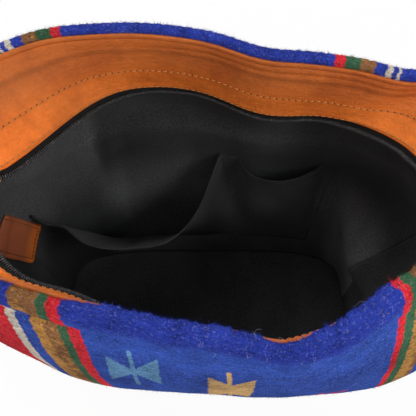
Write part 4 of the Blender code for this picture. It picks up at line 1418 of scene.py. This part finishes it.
# The pocket's points along it, the rows up it, close together in the hem, and where the hem starts
POCKET_STATIONS = 150
POCKET_STEPS = np.concatenate((np.linspace(0.0, 0.92, 34), np.linspace(0.93, 1.0, 14)))
POCKET_HEM = 0.93
POCKET_SEAM = 0.935
POCKET_THREAD = (0.03, 0.03, 0.03)


def pocket_shape():
    """Mouth-side face of the pocket, from its foot on the lining to its open mouth."""
    lining = lining_grid(BACK, LINING_STATIONS)
    marks = [(share * ZIP_HALF_WIDTH, BACK_DEPTH - front) for share, front in POCKET_MOUTH]
    mouth = resample(curve_through(marks, 24), POCKET_STATIONS)
    left, right = (share * ZIP_HALF_WIDTH for share in POCKET_FOOT)
    foot = np.linspace(left, right, POCKET_STATIONS)
    place = np.linspace(0.0, 1.0, POCKET_STATIONS)
    from_end = clipped(np.minimum(place, 1 - place) / 0.05)
    foot_depth = lining_depth(lining, foot, POCKET_BOTTOM) - POCKET_THICKNESS
    rows = []
    for t in POCKET_STEPS:
        clear = POCKET_THICKNESS + SEAM_GAP * 2 * from_end * min(t / 0.1, 1.0)
        height = POCKET_BOTTOM + t * (POCKET_TOP - POCKET_BOTTOM)
        across = foot + (mouth[:, 0] - foot) * t
        depth = foot_depth + (mouth[:, 1] - foot_depth) * t**POCKET_GAPE_CURVE
        depth = np.minimum(depth, lining_depth(lining, across, height) - clear)
        rows.append(np.column_stack((across, depth, np.full(POCKET_STATIONS, height))))
    return np.array(rows)


def slip_pocket():
    """Cotton pocket pulled open, with a soft fold and a turned and sewn mouth."""
    _, colours = settings()
    grid = pocket_shape()
    t = POCKET_STEPS[:, None]
    x = grid[:, :, 0]
    hem = clipped((t - POCKET_HEM) / 0.01)
    thickness = POCKET_THICKNESS * (0.9 + 0.5 * hem) * np.sqrt(np.clip((1.004 - t) / 0.012, 0.02, 1.0))
    crease = bell(x, -62 * MM - 8 * MM * (1 - t), 6 * MM) * t * (1 - t) * 4
    folds = 1.6 * MM * np.sin(x * 70 + 1.0) * np.sin(t * 3.0) + 2.4 * MM * crease
    place = np.linspace(0.0, 1.0, POCKET_STATIONS)[None]
    inside = clipped(np.minimum(np.minimum(place, 1 - place) / 0.05, t / 0.07))
    front = grid.copy()
    front[:, :, 1] -= np.maximum(folds, -0.2 * MM) * inside - (1 - inside) * 1.3 * MM
    back = front.copy()
    back[:, :, 1] += thickness
    material = twill_material("pocket_twill", colours, painted_light=POCKET_PAINTED_LIGHT)
    item = add_shell("cotton_slip_pocket", front, back, cloth_places(front), material, flip=True)
    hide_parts("slip_pocket")
    line = front[int(np.searchsorted(POCKET_STEPS, POCKET_SEAM))]
    out = np.tile((0.0, -1.0, 0.0), (len(line), 1))
    thread = thread_material("pocket_thread", POCKET_THREAD)
    seam = add_stitches("pocket_stitches", line, out, 3.0 * MM, 0.4 * MM, thread)


def solid_copy(node, name, material, width, segments, body="bag"):
    """Piece in a solid's own shape, with softened edges and a finer surface."""
    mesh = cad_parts[node].data.copy()
    mesh.name = name
    mesh.materials.clear()
    mesh.materials.append(material)
    item = bpy.data.objects.new(name, mesh)
    bpy.context.scene.collection.objects.link(item)
    builder = bmesh.new()
    builder.from_mesh(mesh)
    bmesh.ops.remove_doubles(builder, verts=builder.verts, dist=0.01 * MM)
    bmesh.ops.dissolve_limit(builder, angle_limit=0.02, verts=builder.verts, edges=builder.edges)
    builder.to_mesh(mesh)
    builder.free()
    mesh.shade_smooth()
    change = item.modifiers.new("soft_edges", "BEVEL")
    change.width = width
    change.segments = segments
    change.limit_method = "ANGLE"
    change.angle_limit = math.radians(35)
    change.harden_normals = True
    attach(item, body)
    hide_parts(node)
    return item


# The patch's points each way, how far its stitches lie from its edge, in points, the height that
# its rounded lower corners take up, and its thickness at the edge, next to it and further in
PATCH_POINTS = 29
PATCH_INSET = 3
PATCH_CORNER = 3.5 * MM
PATCH_EDGE = (0.45, 0.85, 1.0)
PATCH_THREAD = (0.10, 0.04, 0.015)


def patch_grid():
    """Mouth-side places of the patch on the left end of the lining."""
    ends = (lining_grid(side, LINING_STATIONS)[:PATCH_REACH, :PATCH_REACH] for side in (FRONT, BACK))
    sampled = []
    for fore, rear in zip(*ends):
        line = np.concatenate((fore[:0:-1], (fore[:1] + rear[:1]) / 2, rear[1:]))
        middle = PATCH_MIDDLE + PATCH_LEAN * (line[:, 2].mean() - PATCH_BOTTOM)
        spots = middle + np.linspace(-0.5, 0.5, PATCH_POINTS) * PATCH_WIDTH
        lengths = lengths_along(line)
        sampled.append(read_line(line, lengths - lengths[len(fore) - 1], spots))
    columns = np.array(sampled).swapaxes(0, 1)
    heights = np.linspace(PATCH_BOTTOM, PATCH_TOP, PATCH_POINTS)
    return np.array([read_line(column, column[:, 2], heights) for column in columns]).swapaxes(0, 1)


def along_seam(values):
    """Values of the patch's grid down its left edge, along its foot and up its right edge."""
    left, right = PATCH_INSET, -PATCH_INSET - 1
    foot = values[PATCH_INSET, left : right + 1]
    return np.concatenate((values[:PATCH_INSET:-1, left], foot, values[PATCH_INSET + 1 :, right]))


def inner_patch():
    """Leather patch inside the left end, with rounded lower corners and stitches near its edges."""
    _, colours = settings()
    grid = patch_grid()
    facing_in = np.cross(np.gradient(grid, axis=1), np.gradient(grid, axis=0))
    facing_in = unit(facing_in * np.sign(facing_in[:, :, :1]))
    sideways = np.abs(np.linspace(-1.0, 1.0, PATCH_POINTS))[None]
    lift = clipped(1 - np.linspace(0.0, 1.0, PATCH_POINTS) / 0.14)[:, None]
    grid[:, :, 2] += lift * clipped((sideways - 0.72) / 0.28) ** 2 * PATCH_CORNER
    back = grid + facing_in * PATCH_CLEAR
    from_end = np.minimum(np.arange(PATCH_POINTS), np.arange(PATCH_POINTS)[::-1])
    from_edge = np.minimum(from_end[None], from_end[:, None])
    thick = PATCH_THICKNESS * np.array(PATCH_EDGE)[np.minimum(from_edge, len(PATCH_EDGE) - 1)]
    thick -= 0.25 * MM * (from_edge == PATCH_INSET)
    face = back + facing_in * thick[:, :, None]
    # Painted shade over the patch's upper part
    material = leather_material("patch_leather", colours, painted_shade=(0.7, 2 * MM, 20 * MM))
    item = add_shell("leather_patch", face, back, cloth_places(face), material, flip=True)
    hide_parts("inner_patch")
    line, out = along_seam(face), along_seam(facing_in)
    thread = thread_material("patch_thread", PATCH_THREAD)
    seam = add_stitches("patch_stitches", line, out, 3.6 * MM, 0.6 * MM, thread)


def strap_route():
    """Middle line of the strap with the direction of its width at each point."""
    off = 2 * SEAM_GAP + RIM_HEM_BULGE + STRAP_THICKNESS / 2
    foot = RIM_HEIGHT - RIM_HEM - STRAP_SEWN
    heights = (foot, foot + STRAP_SEWN / 2, foot + STRAP_SEWN, RIM_HEIGHT)
    level = (0.0, 1.0, 0.0)
    tilted = (0.0, 0.7, 0.7)
    upright = (0.0, 0.0, 1.0)
    left = []
    for height, (half_width, *_) in zip(heights, smooth_levels(BODY_LEVELS, heights)):
        left.append((-half_width - off, STRAP_MIDDLE, height, *level))
    rim = BODY_LEVELS[-1][1] + off
    fold = rim + 2 * STRAP_FOLD
    left.append((-rim - STRAP_FOLD, STRAP_MIDDLE, RIM_HEIGHT + STRAP_RISE, *level))
    for k, (out, back, up) in enumerate(STRAP_DROP):
        hint = level if k < 2 else tilted
        left.append((-fold - out, STRAP_MIDDLE + back, STRAP_HANG + up, *hint))
    half_width, _, depth, _ = smooth_levels(BODY_LEVELS, [STRAP_HANG])[0]
    behind = depth + STRAP_OFF_BACK
    left.append((-half_width, behind - STRAP_OFF_BACK, STRAP_HANG + STRAP_FOLD, *upright))
    left.append((-half_width / 2, behind, STRAP_HANG, *upright))
    middle = (0.0, behind, STRAP_HANG, *upright)
    right = [(-x, *rest) for x, *rest in reversed(left)]
    return [*left, middle, *right]


def strap_section():
    """Outline of the strap across its width: rounded edges and a slightly crowned face and back."""
    half, thick = STRAP_WIDTH / 2, STRAP_THICKNESS / 2
    rounding = thick * 0.8
    turns = np.linspace(-math.pi / 2, math.pi / 2, 7)
    right = [(half - rounding + rounding * math.cos(turn), thick * math.sin(turn)) for turn in turns]
    flat_run = np.linspace(half - rounding, -half + rounding, 12)[1:-1]
    crown = [(u, thick * (1 - 0.05 * math.cos(u / half * math.pi))) for u in flat_run]
    left = [(-u, v) for u, v in right[::-1]]
    under = [(u, -v) for u, v in crown[::-1]]
    return right + crown + left + under


STRAP_STITCH_INSET = 3.2 * MM


def shoulder_strap():
    """Leather strap with rounded edges and a stitch row along each edge of its two faces."""
    sizes, colours = settings()
    line = curve_through(strap_route(), 16)
    middle = line[:, :3]
    ahead = unit(np.gradient(middle, axis=0))
    across = unit(line[:, 3:] - ahead * np.sum(line[:, 3:] * ahead, axis=1, keepdims=True))
    through = np.cross(ahead, across)
    section = strap_section()
    rings = np.stack([middle + across * u + through * v for u, v in section], axis=1)
    lengths = lengths_along(middle)
    from_middle = np.array([u for u, _ in section])[None]
    places = np.stack(np.broadcast_arrays(lengths[:, None], from_middle), axis=2)
    rows, count = rings.shape[:2]
    faces = grid_faces(rows, count, True).tolist()
    faces.append(list(range(count))[::-1])
    faces.append(list(range((rows - 1) * count, rows * count)))
    inset = STRAP_WIDTH / 2 - STRAP_STITCH_INSET
    material = leather_material("strap_leather", colours, (inset, -inset), sizes.stitch_pitch)
    item = add_mesh("leather_strap", rings.reshape(-1, 3), faces, places.reshape(-1, 2), material)
    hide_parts("shoulder_strap")
    thread = thread_material("strap_thread", colours.thread)
    for row, edge in (("upper", inset), ("lower", -inset)):
        for face, sign in (("outer", 1), ("inner", -1)):
            path = middle + across * edge + through * sign * (STRAP_THICKNESS / 2) * 0.97
            name = f"strap_{row}_{face}_stitches"
            girth = sizes.thread * 0.85
            add_stitches(name, path, through * sign, sizes.stitch_pitch, girth, thread)


# How much wider and deeper the lining's floor is drawn than its solid, to meet the lining's halves
FLOOR_STRETCH = (1.018, 1.045)


def base():
    """Leather base with rounded edges and the cotton floor inside."""
    _, colours = settings()
    leather = leather_material("base_leather", colours)
    # The floor's cotton is painted 2.7 times lighter: painted light deep in the bag
    twill = twill_material("base_twill", colours, lighter=2.7)
    outside = solid_copy("base_panel", "leather_base", leather, 0.8 * MM, 3)
    inside = solid_copy("lining_base", "cotton_base", twill, 0.3 * MM, 2)
    for vertex in inside.data.vertices:
        vertex.co.x *= FLOOR_STRETCH[0]
        vertex.co.y *= FLOOR_STRETCH[1]
    for item in (outside, inside):
        lay_cloth(item.data, np.array([vertex.co[:2] for vertex in item.data.vertices]))


def zip_hardware():
    """Slider and pull of aged brass."""
    _, colours = settings()
    brass = brass_material(colours)
    solid_copy("zip_slider", "brass_slider", brass, 0.35 * MM, 3)
    solid_copy("zip_pull", "brass_pull", brass, 0.45 * MM, 4, "pull")


# Stage


LAMPS = (
    ("key_lamp", (0.98, -0.52, 1.10), 0.7, 11.5),
    ("fill_lamp", (-0.25, -1.25, 0.9), 1.2, 6.0),
    ("rear_lamp", (-0.55, 0.95, 1.2), 1.2, 14.0),
)
LAMP_AIM = (0.0, 0.0, 0.2)
FLOOR_SIZE = 8.0
FLOOR_GLOW = 0.92
# Strength of the world's light: on the bag, and how much more of it is seen directly
WORLD_LIGHT = 0.34
WORLD_SEEN = 0.66
CAMERA_PLACE = (0.0, -0.136, 0.515)
CAMERA_TILT = math.radians(25)
CAMERA_ANGLE = math.radians(45)


def seen_directly(nodes):
    """1 for rays from the camera, a reflection or glass, 0 for the light that falls on the bag."""
    rays = ("Is Camera Ray", "Is Glossy Ray", "Is Transmission Ray")
    camera, glossy, glass = nodes.node("ShaderNodeLightPath", output=rays)
    return camera.highest(glossy.highest(glass))


def pale_floor():
    """Floor that looks pale wherever it is seen directly, and keeps the bag's shadow."""
    _, colours = settings()
    bpy.ops.mesh.primitive_plane_add(size=FLOOR_SIZE)
    floor = bpy.context.object
    floor.name = "floor"
    shader = Shader("floor_paper", {"Roughness": 0.9})
    material = shader.finish(colour=tuple(colours.floor))
    paper = Reading(shader, shader.surface.outputs[0])
    glow = shader.node("ShaderNodeEmission")
    glowing = seen_directly(shader) * FLOOR_GLOW
    both = shader.node("ShaderNodeMixShader", {}, {0: glowing, 1: paper, 2: glow})
    shader.put(shader.tree.nodes["Material Output"].inputs[0], both)
    floor.data.materials.append(material)


def studio_light():
    """World and lamps."""
    scene = bpy.context.scene
    world = bpy.data.worlds.new("studio")
    world.use_nodes = True
    sky = world.node_tree.nodes["Background"]
    sky.inputs["Color"].default_value = (1.0, 1.0, 1.0, 1.0)
    nodes = Nodes(world.node_tree)
    nodes.put(sky.inputs["Strength"], seen_directly(nodes) * WORLD_SEEN + WORLD_LIGHT)
    scene.world = world
    for name, place, size, power in LAMPS:
        data = bpy.data.lights.new(name, "AREA")
        data.size = size
        data.energy = power
        lamp = bpy.data.objects.new(name, data)
        lamp.location = place
        aim = Vector(LAMP_AIM) - Vector(place)
        lamp.rotation_euler = aim.to_track_quat("-Z", "Y").to_euler()
        scene.collection.objects.link(lamp)


def stage():
    """Pale floor, soft lamps and the camera that looks down into the open bag."""
    scene = bpy.context.scene
    pale_floor()
    studio_light()
    view = bpy.data.cameras.new("camera")
    view.angle = CAMERA_ANGLE
    view.clip_start = 0.01
    camera = bpy.data.objects.new("camera", view)
    camera.location = CAMERA_PLACE
    camera.rotation_euler = (CAMERA_TILT, 0.0, 0.0)
    scene.collection.objects.link(camera)
    scene.camera = camera
    scene.view_settings.view_transform = "Standard"


# Operators, one for each piece or group of like pieces


class BAG_OT_wool(bpy.types.Operator):
    """Make the front and back of striped wool with their loose fibres"""

    bl_idname = "bag.wool"
    bl_label = "Wool"

    def execute(self, context):
        for side in (FRONT, BACK):
            wool_half(side)
        return {"FINISHED"}


class BAG_OT_facings(bpy.types.Operator):
    """Make the leather facings of the mouth"""

    bl_idname = "bag.facings"
    bl_label = "Leather facings"

    def execute(self, context):
        for side in (FRONT, BACK):
            leather_facing(side)
        return {"FINISHED"}


class BAG_OT_zip(bpy.types.Operator):
    """Make the zip's tapes and coils"""

    bl_idname = "bag.zip"
    bl_label = "Zip"

    def execute(self, context):
        for side in (FRONT, BACK):
            zip_tape(side)
            zip_coil(side)
        return {"FINISHED"}


class BAG_OT_zip_hardware(bpy.types.Operator):
    """Make the zip's slider and pull"""

    bl_idname = "bag.zip_hardware"
    bl_label = "Slider and pull"

    def execute(self, context):
        zip_hardware()
        return {"FINISHED"}


class BAG_OT_lining(bpy.types.Operator):
    """Make the cotton lining"""

    bl_idname = "bag.lining"
    bl_label = "Lining"

    def execute(self, context):
        for side in (FRONT, BACK):
            lining_half(side)
        return {"FINISHED"}


class BAG_OT_pocket(bpy.types.Operator):
    """Make the slip pocket"""

    bl_idname = "bag.pocket"
    bl_label = "Slip pocket"

    def execute(self, context):
        slip_pocket()
        return {"FINISHED"}


class BAG_OT_patch(bpy.types.Operator):
    """Make the leather patch inside the left end"""

    bl_idname = "bag.patch"
    bl_label = "Inner patch"

    def execute(self, context):
        inner_patch()
        return {"FINISHED"}


class BAG_OT_strap(bpy.types.Operator):
    """Make the leather shoulder strap"""

    bl_idname = "bag.strap"
    bl_label = "Strap"

    def execute(self, context):
        shoulder_strap()
        return {"FINISHED"}


class BAG_OT_base(bpy.types.Operator):
    """Make the leather base and the cotton floor inside"""

    bl_idname = "bag.base"
    bl_label = "Base"

    def execute(self, context):
        base()
        return {"FINISHED"}


class BAG_OT_stage(bpy.types.Operator):
    """Make the floor, the lamps and the camera"""

    bl_idname = "bag.stage"
    bl_label = "Stage"

    def execute(self, context):
        stage()
        return {"FINISHED"}


OPERATORS = (
    BAG_OT_stage,
    BAG_OT_base,
    BAG_OT_wool,
    BAG_OT_zip,
    BAG_OT_facings,
    BAG_OT_zip_hardware,
    BAG_OT_lining,
    BAG_OT_pocket,
    BAG_OT_patch,
    BAG_OT_strap,
)


class BAG_PT_panel(bpy.types.Panel):
    """Sizes, colours and pieces of the bag"""

    bl_idname = "BAG_PT_panel"
    bl_label = "Wool bag"
    bl_space_type = "VIEW_3D"
    bl_region_type = "UI"
    bl_category = "Wool bag"

    def draw(self, context):
        for group in (context.scene.bag_sizes, context.scene.bag_colours):
            for name in type(group).__annotations__:
                self.layout.prop(group, name)
        for operator in OPERATORS:
            self.layout.operator(operator.bl_idname)


CLASSES = (BagSizes, BagColours, *OPERATORS, BAG_PT_panel)


def register():
    for made in CLASSES:
        bpy.utils.register_class(made)
    bpy.types.Scene.bag_sizes = PointerProperty(type=BagSizes)
    bpy.types.Scene.bag_colours = PointerProperty(type=BagColours)


def unregister():
    del bpy.types.Scene.bag_colours
    del bpy.types.Scene.bag_sizes
    for made in reversed(CLASSES):
        bpy.utils.unregister_class(made)


def main():
    """Make every piece in turn."""
    register()
    for operator in OPERATORS:
        group, name = operator.bl_idname.split(".")
        getattr(getattr(bpy.ops, group), name)()


if __name__ == "__main__":
    main()
